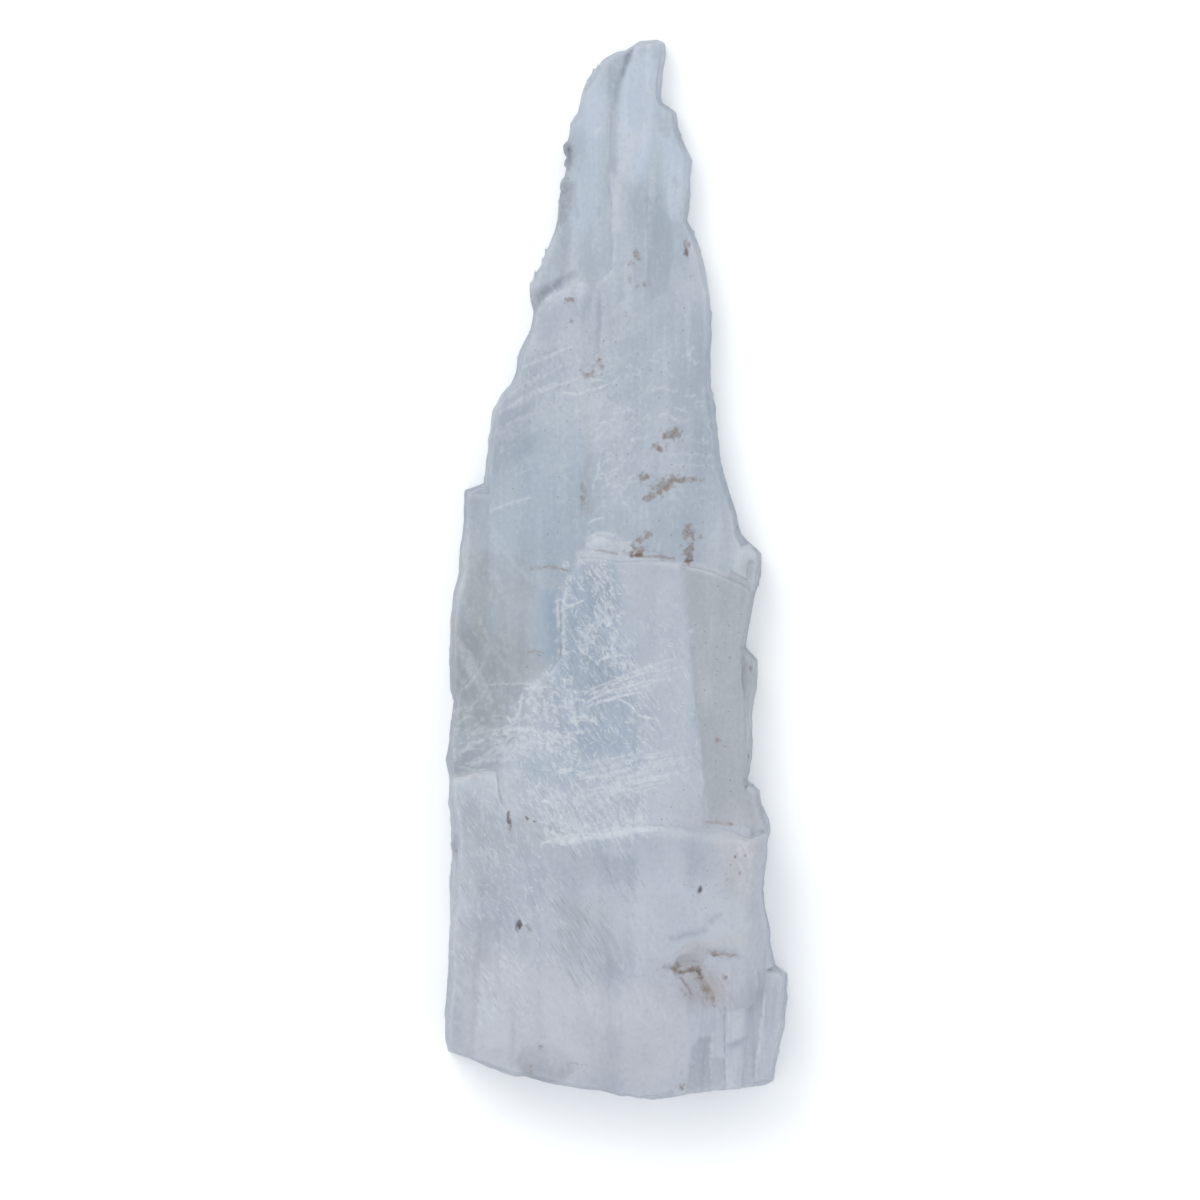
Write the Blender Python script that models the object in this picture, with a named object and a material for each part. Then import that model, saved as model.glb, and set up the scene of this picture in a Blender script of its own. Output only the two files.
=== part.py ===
"""Selenite slab: one broken, tapering piece of clear gypsum, lying on its back face.

Selenite parts into flat sheets, so the slab is built as a stack of them. Each sheet is a
ragged outline with a leaning, ledged wall and a tilted flat top. The sheets are joined into
one solid, which grooves, chips, pits and a cavity then cut.

The tables are in millimetres, drawn for a slab of the DRAWN size. +Z is up, +Y points to
the tip, and the origin is under the middle of the slab's box, on the surface it lies on.
"""

import math
import random
from dataclasses import dataclass

import bmesh
import bpy
from mathutils import Euler, Matrix, Vector

# ---- driving dimensions, in metres ------------------------------------------------------
SLAB_LENGTH = 0.300
SLAB_WIDTH = 0.097
SLAB_THICKNESS = 0.025

# ---- the drawing's own size, in millimetres ---------------------------------------------
DRAWN_LENGTH = 300.0
DRAWN_WIDTH = 97.0
DRAWN_THICKNESS = 25.0

# ---- how a sheet's edge breaks, in millimetres ------------------------------------------
EDGE_POINT_GAP = 9.0        # an edge longer than this gets a point in its middle
EDGE_RAGGEDNESS = 0.35      # how far that point strays sideways
LEDGE_RISE = 0.25           # height of the riser between two rings of a ledge
RIM_DROP = 0.5              # worn rim round the top of every sheet
RIM_INSET = 0.45
CORNER_ROOM = 0.42          # a wall steps in by at most this share of its shortest side
SHEET_FOOT = 4.0            # where an upper sheet starts, inside the base
SLIVER = 0.02               # points closer than this are merged
FLAT_ANGLE = math.radians(0.3)
MATERIAL_NAME = "selenite"
SEED = 41


@dataclass(frozen=True)
class Plane:
    """A tilted flat top: its height over the origin, and its rise per mm along X and Y."""

    height: float
    rise_x: float = 0.0
    rise_y: float = 0.0

    def at(self, x, y):
        """The plane's height at a point."""
        return self.height + self.rise_x * x + self.rise_y * y

    def raised(self, by):
        """The same tilt, higher by so many millimetres."""
        return Plane(self.height + by, self.rise_x, self.rise_y)


@dataclass(frozen=True)
class Sheet:
    """One cleavage sheet: its outline seen from above, and how its wall leans."""

    name: str
    outline: tuple
    top: Plane
    lean: float = 0.8           # how far the wall leans in from foot to rim
    ledges: int = 1             # how many ledges run round the wall
    ledge_depth: float = 0.5    # how far a ledge steps in, at most
    foot: float = SHEET_FOOT


BASE_TOP = Plane(8.5, 0.0, -0.008)
TIP_TOP = Plane(10.2, 0.03, 0.0)
UPPER_TOP = Plane(14.0, -0.012, -0.022)
MIDDLE_TOP = Plane(16.8, 0.0, -0.045)
PANEL_TOP = Plane(18.1, -0.09, -0.045)
LOWER_TOP = Plane(21.85, -0.01, -0.02)

BASE = Sheet("base", (
    # tip, and down the left edge
    (11.5, 150), (6.5, 149.5), (4, 148), (2, 147), (-0.5, 146.5), (-3.5, 144.5), (-6, 142),
    (-7.5, 140), (-9.5, 135.5), (-11, 129.5), (-13, 126.5), (-13.5, 123), (-14.5, 119),
    (-14, 114.5), (-15, 110), (-16, 106.5), (-16.5, 100), (-17.5, 96), (-19.5, 91),
    (-21.5, 86), (-24.5, 80.5), (-24.5, 77.5), (-23.5, 73), (-24.5, 67.5), (-27.5, 62),
    (-28.5, 56), (-30, 52.5), (-32.5, 50), (-35, 45), (-36, 37), (-37, 30.5), (-37.5, 24.5),
    (-43, 22.5), (-43, 19.5), (-43.5, 11), (-44.5, -0.5), (-46, -6), (-47, -14.5),
    (-47.5, -25.5), (-47, -34), (-46, -37), (-47, -44), (-48, -54), (-47.5, -65),
    (-47, -73), (-46.5, -79.5), (-47, -96.5), (-47.5, -110.5), (-48.5, -124.5),
    (-48.5, -133), (-47.5, -136.5),
    # broken end
    (-41.5, -138.5), (-36, -141), (-28.5, -143.5), (-26, -143.5), (-19, -145.5),
    (-10.5, -147), (1, -149), (10, -150), (18, -149), (23.5, -147.5), (33.5, -147),
    (42, -146), (44.5, -144.5),
    # up the right edge
    (45.5, -138), (47.5, -130), (48, -121.5), (48.5, -114.5), (45, -112), (43.5, -105.5),
    (43.5, -102), (42, -95.5), (41.5, -90.5), (42.5, -82), (43.5, -73), (43, -70.5),
    (41, -66.5), (40.5, -62.5), (37, -59.5), (38.5, -53), (38.5, -38.5), (40, -29),
    (40, -25.5), (36.5, -22), (37.5, -16.5), (39, -8), (41, -1.5), (41, 4.5), (37, 8),
    (35, 10.5), (34, 16), (32, 22), (29.5, 30.5), (28, 42.5), (26.5, 52), (26.5, 60),
    (27, 67.5), (26.5, 77), (25, 86), (23, 93), (20, 99), (21, 106), (21.5, 116),
    (19, 121), (17.5, 125), (17, 129.5), (13, 132), (12.5, 134), (13, 140.5), (14, 146),
    (13.5, 149),
), BASE_TOP, lean=0.5, ledges=2, ledge_depth=0.5, foot=0.0)

SHEETS = (
    Sheet("tip_left", (
        (4, 146.5), (-0.5, 146), (-3, 144), (-5, 141.5), (-8.5, 135.5), (-10.5, 129.5),
        (-12, 126), (-13, 122.5), (-13.5, 118.5), (-13, 114.5), (-14, 109.5), (-15, 106),
        (-15.5, 99.5), (-17, 95.5), (-19, 91), (-21, 86), (-23.5, 80), (-24, 77.5),
        (-22.5, 73), (-11.5, 69), (1, 76), (0, 96), (-1, 110), (1, 123), (3, 135.5),
        (5, 144),
    ), TIP_TOP, lean=0.3, ledge_depth=0.3),
    Sheet("upper", (
        # tongue up to the tip, and the curved ledge at its left
        (11, 149), (7, 148.5), (4.5, 146.5), (3.5, 143.5), (1, 135), (-1, 123),
        (-2.5, 110), (-2, 96), (-1.5, 85), (-4.5, 82), (-11.5, 81), (-16.5, 78.5),
        (-20, 76.5), (-22.5, 73), (-23.5, 67.5), (-26, 62), (-27.5, 55.5), (-29, 51.5),
        (-31.5, 49), (-34, 44.5), (-35, 37), (-36, 30), (-36.5, 24.5),
        # beside the low strip
        (-36, 14), (-35.5, 0), (-35, -11.5), (-35.5, -20), (-39, -27), (-45, -34),
        (-45, -37), (-46, -44.5), (-47, -54), (-46.5, -79.5), (41.5, -79.5),
        # up the right edge
        (42.5, -73), (41.5, -70.5), (39.5, -67), (39, -62.5), (36, -59.5), (37, -53),
        (37, -38.5), (38.5, -29), (38.5, -26), (35.5, -22.5), (36.5, -16.5), (38, -8),
        (39.5, -1.5), (38.5, 2.5), (35.5, 6), (33.5, 10), (33, 15.5), (31, 21.5),
        (28.5, 30), (26.5, 42), (25.5, 52), (25.5, 60), (26, 67.5), (25.5, 77),
        (24, 85.5), (22, 92.5), (19.5, 98.5), (20, 106), (20.5, 115), (18, 120.5),
        (16.5, 124.5), (16, 129), (12.5, 131.5), (11.5, 134), (12, 140.5), (13, 145.5),
        (12.5, 148.5),
    ), UPPER_TOP, lean=0.3, ledge_depth=0.4),
    Sheet("left_strip", (
        (-42.2, 21.5), (-42.4, 11), (-43.5, -0.5), (-45, -6), (-46, -14.5), (-46.5, -25.5),
        (-46, -34), (-45, -37), (-46, -44), (-47, -54), (-47, -62), (-32, -62),
        (-32, -20), (-32, 20), (-36.5, 21.8),
    ), Plane(12.7, -0.01, -0.02), lean=0.3, ledge_depth=0.4),
    Sheet("north_film", (
        (-20, 73), (-15.5, 77.5), (-7.5, 80), (2.5, 78.5), (13, 80.5), (23, 76),
        (24.5, 67.5), (24, 56), (21, 50), (14.5, 48.5), (6.5, 49.5), (0.5, 51),
        (-4.5, 51.5), (-10.5, 49.5), (-17, 50.5), (-24.5, 52.5), (-26, 56),
        (-22.5, 63.5), (-22, 68.5),
    ), UPPER_TOP.raised(0.5), lean=0.6, ledges=0),
    Sheet("brow_film", (
        (-8.5, 6), (-8, 7.5), (-6, 9.5), (-3.5, 9.5), (0.5, 8.5), (5.5, 6.5), (12.5, 5),
        (13.5, 1), (-7.5, 1), (-10.5, 4),
    ), UPPER_TOP.raised(1.1), lean=0.3, ledges=0),
    Sheet("left_film", (
        (-20, -30), (-23.5, -32), (-26.5, -33.5), (-27, -37), (-29, -41), (-32, -44),
        (-36, -46.5), (-41, -48.5), (-45, -50), (-45.8, -53.5), (-44, -60), (-30, -62),
        (-16, -54), (-13, -37), (-15.5, -27),
    ), UPPER_TOP.raised(1.2), lean=0.6, ledges=0),
    Sheet("middle", (
        (-11, 3.5), (-6.5, 4.5), (6.5, 4), (19, 2.5), (20, -8.5), (22, -20), (23.5, -31),
        (24, -42.5), (25.5, -54), (26, -65), (27, -82), (-30, -82), (-40, -76),
        (-41, -64), (-37, -58), (-33.5, -54.5), (-32.5, -50), (-30, -46.5),
        (-23.5, -44.5), (-22, -38),
        (-20, -34), (-20, -29), (-18, -26.5), (-16.5, -24.5), (-17, -20),
        (-16.5, -15), (-17, -10.5), (-15.5, -6.5), (-14.5, -4.5), (-13.5, -0.5),
        (-12, 2),
    ), MIDDLE_TOP, lean=1.0, ledges=1, ledge_depth=0.8),
    Sheet("right_panel", (
        (14.5, 2.5), (23.5, 1), (27.5, 0), (31.5, -1.5), (36.5, -3.5), (38.6, -5.5),
        (38.2, -9), (36.8, -16), (35.8, -22.5), (36.3, -26), (36.3, -31), (37.2, -38.5),
        (37.3, -53), (36.3, -59), (37.5, -63), (39, -69.5), (39.5, -82), (15, -82),
        (15, -42.5), (14.5, -20),
    ), PANEL_TOP, lean=0.8),
    Sheet("wedge", (
        (31, -0.5), (32.5, 2.5), (33.5, 5), (35, 7), (37.5, 7.5), (39, 5.5), (40, 3.5),
        (39.5, -1.5), (38.5, -4), (34.5, -3),
    ), Plane(14.9, 0.0, -0.12), lean=0.7),
    Sheet("right_bump", (
        (37, -23.5), (39, -25.5), (39, -29), (38.5, -32.5), (37, -34), (35, -31),
        (35, -26),
    ), Plane(14.5), lean=1.2),
    Sheet("right_shoulder", (
        (36, -60), (38.5, -61), (39.5, -62.5), (40.2, -66.5), (41.5, -70.5), (42.3, -73),
        (40.5, -78), (36, -78), (35, -69.5),
    ), Plane(16.9), lean=0.9),
    Sheet("lower", (
        # the rounded lip, from the left edge across
        (-47, -58.5), (-43.5, -57.5), (-37, -55.5), (-33, -56), (-32, -61), (-31, -65),
        (-28.5, -68), (-25, -70.5), (-21.5, -73.5), (-19, -76.5), (-14.5, -75.5),
        (-10, -75), (-4.5, -74), (0.5, -73), (8, -72.5), (18, -73), (24.5, -74.5),
        (33.5, -76), (39, -77.5),
        # down the right, round the broken end and up the left
        (39.5, -88), (39.5, -94.5), (38.5, -105), (40.5, -112.5), (41.5, -117),
        (38.5, -124.5), (30.5, -127), (27, -130), (22, -132), (20.5, -139.5), (19, -147),
        (11, -149), (1, -148), (-10, -146), (-18.5, -144.5), (-25.5, -142.5),
        (-28.5, -142.5), (-35.5, -140), (-41.5, -138), (-46.5, -136), (-47.5, -133),
        (-47.5, -124.5), (-46.5, -110.5), (-46, -96.5), (-45.5, -79.5), (-46, -73),
        (-47, -65),
    ), LOWER_TOP, lean=0.8, ledges=2, ledge_depth=0.6),
    Sheet("lip_low", (
        (-21.5, -73.5), (-15, -73), (-10, -72.3), (-4.5, -71.2), (0.5, -70.2), (8, -69.8),
        (18, -70.6), (24.5, -72.2), (33.5, -74), (38.5, -75.8), (38.5, -84), (-22, -84),
    ), LOWER_TOP.raised(-2.4), lean=0.3, ledges=0),
    Sheet("lip_high", (
        (-20, -75), (-15, -74.3), (-10, -73.7), (-4.5, -72.7), (0.5, -71.7), (8, -71.2),
        (18, -71.9), (24.5, -73.3), (33.5, -75), (38.5, -76.8), (38, -85), (-22, -85),
    ), LOWER_TOP.raised(-1.1), lean=0.3, ledges=0),
    Sheet("right_facet", (
        (36.5, -76), (36.5, -88), (36, -105), (37.5, -114.5), (44, -112), (42.7, -106),
        (42.7, -102), (41.2, -96), (40.7, -91), (41.7, -82), (42.7, -74),
    ), Plane(41.6, -0.5), lean=0.2, ledges=0),
)

# Prism bands at the lower right: long narrow steps that fall towards the right edge.
BANDS = (
    Sheet("band_1", (
        (29.5, -121.5), (21, -121.5), (18.5, -132), (15.5, -147.8), (26.5, -146.8),
        (27.5, -130.5),
    ), Plane(24.1, -0.12, -0.02), lean=0.4, ledges=0),
    Sheet("band_2", (
        (32.5, -121.5), (25, -122.5), (24.5, -130), (23.5, -146.6), (31, -146.3),
        (31.5, -127.5),
    ), Plane(20.6, 0.0, -0.02), lean=0.2, ledges=0),
    Sheet("band_3", (
        (37.5, -119), (29, -121.5), (28.7, -146), (35, -146.2), (36.8, -125),
    ), Plane(22.9, -0.06, -0.02), lean=0.4, ledges=0),
    Sheet("band_4", (
        (42.5, -113), (36.5, -111), (31.5, -119), (31.5, -146), (38.5, -145.4),
        (40.5, -133),
    ), Plane(32.6, -0.35, -0.02), lean=0.4, ledges=0),
    Sheet("band_5", (
        (45, -112.7), (40, -111.5), (34.5, -117.5), (35.5, -145.3), (43.8, -144),
        (44.9, -138), (46.7, -130), (47.4, -121.5), (47.8, -114.8),
    ), Plane(30.4, -0.3, -0.02)),
)

# Flakes that have split off the underside: thin hollows that open at its edge.
UNDERSIDE_SCARS = (
    Sheet("scar_left", (
        (-55, -62), (-55, -104), (-44, -101), (-39, -96), (-36.5, -86), (-38, -76),
        (-36, -68), (-41, -62.5),
    ), Plane(0.9), lean=0.6, ledges=0, foot=-2.0),
    Sheet("scar_tip", (
        (34, 86), (22, 84), (17, 78), (15, 66), (18, 57), (16, 48), (22, 41), (34, 38),
    ), Plane(0.7), lean=0.6, ledges=0, foot=-2.0),
)


@dataclass(frozen=True)
class Groove:
    """A V-shaped groove down from a sheet's top, fading out at both ends."""

    name: str
    path: tuple
    top: Plane
    width: float
    depth: float


GROOVES = (
    Groove("tip_groove", ((4.5, 148), (3.5, 144), (1, 135.5), (-1, 123), (-2.5, 110),
                          (-2, 96)), UPPER_TOP, 3.2, 1.6),
    Groove("tip_step", ((9, 112), (9, 97.5), (9.5, 87), (10.5, 75.5)), UPPER_TOP, 4.2, 0.8),
    Groove("right_rib", ((20, 120), (19.5, 108.5), (19, 93), (21, 79)), UPPER_TOP, 3.2, 0.8),
    Groove("left_rib", ((-13, 97), (-14, 87), (-15.5, 79)), TIP_TOP, 3.2, 0.8),
    Groove("north_seam", ((-4.5, 78), (-5.5, 67.5), (-6.5, 58)), UPPER_TOP.raised(0.5),
           2.0, 0.6),
    Groove("left_ripple", ((-36.5, -86), (-38.5, -105), (-39, -121.5), (-40.5, -136)),
           LOWER_TOP, 3.6, 0.8),
    Groove("inner_ripple", ((-28, -117), (-28.5, -130), (-29.5, -144)), LOWER_TOP, 3.0, 0.6),
    Groove("mud_crack", ((13, -111.5), (18, -114), (23, -112), (31, -116)), LOWER_TOP,
           4.4, 1.8),
    Groove("mud_line", ((22.5, -106.5), (29.5, -108), (37, -109.5)), LOWER_TOP, 2.6, 0.8),
)


@dataclass(frozen=True)
class Lump:
    """A rough ball: cut out as a pit or a scoop, or joined on as a lump."""

    name: str
    centre: tuple
    radii: tuple
    turn: float = 0.0       # degrees about Z
    roughness: float = 0.12


PITS = (
    Lump("slit_left", (-30.0, -70.8, 22.9), (1.0, 2.8, 3.2), turn=4),
    Lump("slit_low", (-27.5, -100.0, 24.0), (0.9, 1.9, 1.8), turn=-8),
    Lump("slit_right", (23.5, -90.0, 23.4), (0.7, 1.4, 1.5), turn=-15),
    Lump("tip_pit", (19.3, 89.0, 12.0), (1.3, 1.3, 1.2)),
    Lump("bump_pit", (38.6, -28.0, 13.8), (1.5, 2.2, 1.6)),
    Lump("mud_hollow", (25.5, -113.5, 25.2), (10.5, 7.5, 2.8), turn=-20),
    Lump("mud_notch", (19.5, -111.0, 24.8), (4.6, 3.2, 2.8), turn=15),
    Lump("crescent", (11.0, -82.0, 25.3), (27.0, 10.5, 3.0), turn=-3, roughness=0.0),
    Lump("brow_chip", (-12.5, 5.0, 16.8), (3.2, 2.4, 1.6), turn=30),
)

LUMPS = (
    Lump("knob_1", (-13.0, 118.6, 8.2), (1.7, 2.2, 2.0)),
    Lump("knob_2", (-13.2, 114.8, 7.2), (1.5, 2.0, 1.8)),
    Lump("knob_3", (-14.3, 108.3, 8.4), (1.6, 2.4, 2.1)),
    Lump("knob_4", (-14.9, 103.8, 7.4), (1.5, 2.1, 2.0)),
    Lump("knob_5", (-15.2, 100.0, 8.2), (1.3, 1.8, 1.6)),
)

# Feathery flakes left standing on the middle sheet: their number, the box that holds their
# centres, and the range of each size.
FLAKE_COUNT = 14
FLAKE_BOX = ((-13.0, 6.0), (-66.0, -6.0))
FLAKE_LENGTH = (5.0, 9.5)
FLAKE_WIDTH = (1.6, 3.0)
FLAKE_RISE = (0.5, 1.0)
FLAKE_TURN = (-68.0, -38.0)     # degrees about Z
FLAKE_SHAPE = ((-0.5, -0.1), (-0.1, -0.5), (0.5, -0.25), (0.42, 0.3), (0.05, 0.5),
               (-0.4, 0.25))    # of a flake one long and one wide

# How many chips are knocked out of each sheet's rim, and their size range.
RIM_CHIPS = {"base": 7, "upper": 9, "middle": 9, "lower": 12, "wedge": 1}
CHIP_RADIUS = (1.3, 2.6)


def clear_scene():
    """Remove every object that the file opened with."""
    for thing in list(bpy.data.objects):
        bpy.data.objects.remove(thing, do_unlink=True)


def to_metres():
    """The matrix that brings the drawing, in millimetres, to the slab's real size."""
    return Matrix.Diagonal((SLAB_WIDTH / DRAWN_WIDTH, SLAB_LENGTH / DRAWN_LENGTH,
                            SLAB_THICKNESS / DRAWN_THICKNESS, 1.0))


def anticlockwise(outline):
    """The outline turned to run anticlockwise, whichever way it was drawn."""
    turned = outline[1:] + outline[:1]
    doubled_area = sum(a[0] * b[1] - b[0] * a[1] for a, b in zip(outline, turned))
    return outline if doubled_area > 0 else outline[::-1]


def ragged(outline, dice):
    """The outline, with a stray point in the middle of each long edge."""
    outline = anticlockwise(outline)
    points = []
    for here, after in zip(outline, outline[1:] + outline[:1]):
        start, end = Vector(here), Vector(after)
        points.append(start)
        run = end - start
        if run.length > EDGE_POINT_GAP:
            sideways = Vector((-run.y, run.x)).normalized()
            points.append(start + run * 0.5 + sideways * dice.gauss(0, EDGE_RAGGEDNESS))
    return points


def outward(points):
    """The outward direction at each point of an anticlockwise outline."""
    count = len(points)
    directions = []
    for i in range(count):
        along = points[(i + 1) % count] - points[i - 1]
        directions.append(Vector((along.y, -along.x)).normalized())
    return directions


def shortest_sides(points):
    """The length of the shorter side that meets each point."""
    count = len(points)
    sides = [(points[(i + 1) % count] - points[i]).length for i in range(count)]
    return [min(sides[i - 1], sides[i]) for i in range(count)]


def wave(dice):
    """A smooth closed curve from 0 to 1 round an outline, as a function of its share."""
    turns = [(dice.randint(2, 9), dice.uniform(0, math.tau)) for _ in range(3)]

    def height(share):
        total = sum(math.sin(math.tau * n * share + phase) for n, phase in turns)
        return 0.5 + total / 6.0

    return height


def wall_levels(sheet, dice):
    """The wall's rings from foot to rim: a share of the height, mm below it, and insets."""
    lean, ledges = sheet.lean, sheet.ledges
    levels = [(0.0, 0.0, lambda share: 0.0)]
    stepped = []
    for i in range(ledges):
        rise = (i + 1) / (ledges + 1)
        before = tuple(stepped)
        stepped.append(wave(dice))
        after = tuple(stepped)
        levels.append((rise, LEDGE_RISE, inset_by(lean * rise, before, sheet)))
        levels.append((rise, 0.0, inset_by(lean * rise, after, sheet)))
    levels.append((1.0, RIM_DROP, inset_by(lean, tuple(stepped), sheet)))
    levels.append((1.0, 0.0, inset_by(lean + RIM_INSET, tuple(stepped), sheet)))
    return levels


def inset_by(lean, steps, sheet):
    """How far a ring stands in from the outline: its lean, and the ledges below it."""
    return lambda share: lean + sheet.ledge_depth * sum(step(share) for step in steps)


def ring_points(sheet, points, level):
    """One ring of a sheet's wall, in millimetres."""
    rise, drop, inset = level
    ring = []
    rows = zip(points, outward(points), shortest_sides(points))
    for i, (point, direction, side) in enumerate(rows):
        spot = point - direction * min(inset(i / len(points)), side * CORNER_ROOM)
        height = sheet.foot + (sheet.top.at(spot.x, spot.y) - sheet.foot) * rise - drop
        ring.append((spot.x, spot.y, height))
    return ring


def new_object(name, shape, collection):
    """A mesh object at real size from a bmesh in millimetres.

    Outside the scene's own collection it is a tool, drawn as wire and never rendered.
    """
    bmesh.ops.recalc_face_normals(shape, faces=shape.faces)
    shape.transform(to_metres())
    mesh = bpy.data.meshes.new(name)
    shape.to_mesh(mesh)
    shape.free()
    thing = bpy.data.objects.new(name, mesh)
    collection.objects.link(thing)
    is_tool = collection != bpy.context.scene.collection
    thing.hide_render = is_tool
    thing.display_type = "WIRE" if is_tool else "TEXTURED"
    return thing


def skin_rings(name, rings, collection):
    """A closed solid from rings of points, bottom first, with flat ends."""
    shape = bmesh.new()
    loops = [[shape.verts.new(point) for point in ring] for ring in rings]
    for lower, upper in zip(loops, loops[1:]):
        count = len(lower)
        for i in range(count):
            j = (i + 1) % count
            shape.faces.new((lower[i], lower[j], upper[j], upper[i]))
    shape.faces.new(loops[0][::-1])
    shape.faces.new(loops[-1])
    shape.normal_update()
    bmesh.ops.triangulate(shape, faces=shape.faces)
    return new_object(name, shape, collection)


def make_sheet(sheet, collection):
    """One cleavage sheet as a closed solid."""
    dice = random.Random(f"{SEED} {sheet.name}")
    points = ragged(sheet.outline, dice)
    levels = wall_levels(sheet, dice)
    rings = [ring_points(sheet, points, level) for level in levels]
    return skin_rings(sheet.name, rings, collection)


def make_groove(groove, collection):
    """The V-shaped bar that cuts one groove."""
    path = [Vector(point) for point in groove.path]
    rings = []
    for i, point in enumerate(path):
        along = path[min(i + 1, len(path) - 1)] - path[max(i - 1, 0)]
        sideways = Vector((-along.y, along.x)).normalized()
        share = (i + 0.5) / len(path)
        fade = math.sin(math.pi * share) ** 0.6
        surface = groove.top.at(point.x, point.y)
        half = sideways * groove.width * 0.5 * (0.35 + 0.65 * fade)
        over = 2.0
        spread = half * (1.0 + over / groove.depth)
        rings.append((
            (point.x - spread.x, point.y - spread.y, surface + over),
            (point.x, point.y, surface - groove.depth * fade),
            (point.x + spread.x, point.y + spread.y, surface + over),
        ))
    return skin_rings(groove.name, rings, collection)


def make_lump(lump, collection, facets=2):
    """A rough ball."""
    dice = random.Random(f"{SEED} {lump.name}")
    shape = bmesh.new()
    bmesh.ops.create_icosphere(shape, subdivisions=facets, radius=1.0)
    turn = Euler((0, 0, math.radians(lump.turn))).to_matrix()
    for vert in shape.verts:
        size = 1.0 + dice.uniform(-lump.roughness, lump.roughness)
        spot = turn @ Vector([c * r * size for c, r in zip(vert.co, lump.radii)])
        vert.co = spot + Vector(lump.centre)
    return new_object(lump.name, shape, collection)


def inside(x, y, outline):
    """Whether a point lies inside an outline."""
    within = False
    for (ax, ay), (bx, by) in zip(outline, outline[1:] + outline[:1]):
        if (ay > y) != (by > y) and x < ax + (bx - ax) * (y - ay) / (by - ay):
            within = not within
    return within


def open_rim(sheet):
    """The outline's points that no higher sheet covers."""
    others = [other for other in SHEETS + BANDS if other is not sheet]
    return [(x, y) for x, y in sheet.outline
            if not any(inside(x, y, other.outline) and other.top.at(x, y) > sheet.top.at(x, y)
                       for other in others)]


def rim_chips():
    """Small scoops knocked out of the open rims, spread along each by seeded dice."""
    chips = []
    for sheet in (BASE,) + SHEETS:
        dice = random.Random(f"{SEED} chips {sheet.name}")
        for i in range(RIM_CHIPS.get(sheet.name, 0)):
            x, y = dice.choice(open_rim(sheet))
            radius = dice.uniform(*CHIP_RADIUS)
            centre = (x * 0.985, y * 0.99, sheet.top.at(x, y) + radius * 0.25)
            radii = (radius, radius * dice.uniform(1.2, 2.2), radius * 0.7)
            chips.append(Lump(f"chip_{sheet.name}_{i + 1}", centre, radii,
                              turn=dice.uniform(-25, 25)))
    return chips


def make_flake(name, dice, collection):
    """One thin pointed flake that stands on the middle sheet, with a bevelled top."""
    middle = Vector((dice.uniform(*FLAKE_BOX[0]), dice.uniform(*FLAKE_BOX[1])))
    turn = Matrix.Rotation(math.radians(dice.uniform(*FLAKE_TURN)), 2)
    length, width = dice.uniform(*FLAKE_LENGTH), dice.uniform(*FLAKE_WIDTH)
    rise = dice.uniform(*FLAKE_RISE)
    rings = []
    for size, lift in ((1.0, -1.0), (0.9, rise * 0.4), (0.55, rise)):
        ring = []
        for x, y in FLAKE_SHAPE:
            spot = middle + turn @ Vector((x * length * size, y * width * size))
            ring.append((spot.x, spot.y, MIDDLE_TOP.at(spot.x, spot.y) + lift))
        rings.append(ring)
    return skin_rings(name, rings, collection)


def collection_of_tools(name):
    """A new collection for guides, in the scene."""
    collection = bpy.data.collections.new(name)
    bpy.context.scene.collection.children.link(collection)
    return collection


def boolean(thing, name, operation, collection):
    """Join a collection of solids to an object, or cut them from it."""
    modifier = thing.modifiers.new(name, "BOOLEAN")
    modifier.operation = operation
    modifier.operand_type = "COLLECTION"
    modifier.collection = collection
    modifier.solver = "EXACT"


def selenite_material():
    """Clear, slightly milky gypsum."""
    material = bpy.data.materials.new(MATERIAL_NAME)
    material.use_nodes = True
    shader = material.node_tree.nodes["Principled BSDF"]
    shader.inputs["Base Color"].default_value = (0.62, 0.70, 0.78, 1.0)
    shader.inputs["Roughness"].default_value = 0.32
    shader.inputs["Metallic"].default_value = 0.0
    shader.inputs["IOR"].default_value = 1.52
    shader.inputs["Transmission Weight"].default_value = 0.5
    return material


def joined_solids():
    """The sheets, bands, flakes and lumps that are joined to the base."""
    collection = collection_of_tools("joined")
    for sheet in SHEETS + BANDS:
        make_sheet(sheet, collection)
    dice = random.Random(f"{SEED} flakes")
    for i in range(FLAKE_COUNT):
        make_flake(f"flake_{i + 1}", dice, collection)
    for lump in LUMPS:
        make_lump(lump, collection)
    return collection


def cut_solids():
    """The grooves, pits, chips and scars that are cut out."""
    collection = collection_of_tools("cut")
    for groove in GROOVES:
        make_groove(groove, collection)
    for pit in PITS:
        make_lump(pit, collection)
    for chip in rim_chips():
        make_lump(chip, collection, facets=1)
    for scar in UNDERSIDE_SCARS:
        make_sheet(scar, collection)
    return collection


def settle(thing):
    """Apply an object's modifiers, merge its slivers and dissolve its flat edges."""
    viewed = thing.evaluated_get(bpy.context.evaluated_depsgraph_get())
    shape = bmesh.new()
    shape.from_mesh(viewed.to_mesh())
    shape.transform(to_metres().inverted())
    bmesh.ops.remove_doubles(shape, verts=shape.verts, dist=SLIVER)
    shape.normal_update()
    bmesh.ops.dissolve_limit(shape, angle_limit=FLAT_ANGLE, verts=shape.verts,
                             edges=shape.edges)
    shape.normal_update()
    bmesh.ops.triangulate(shape, faces=shape.faces)
    shape.transform(to_metres())
    thing.modifiers.clear()
    shape.to_mesh(thing.data)
    shape.free()


def build_slab():
    """The whole slab: the base, what is joined to it, and what is cut out of it."""
    slab = make_sheet(BASE, bpy.context.scene.collection)
    slab.name = "selenite_slab"
    boolean(slab, "join", "UNION", joined_solids())
    boolean(slab, "cut", "DIFFERENCE", cut_solids())
    settle(slab)
    slab.data.materials.append(selenite_material())
    return slab


clear_scene()
build_slab()
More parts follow.
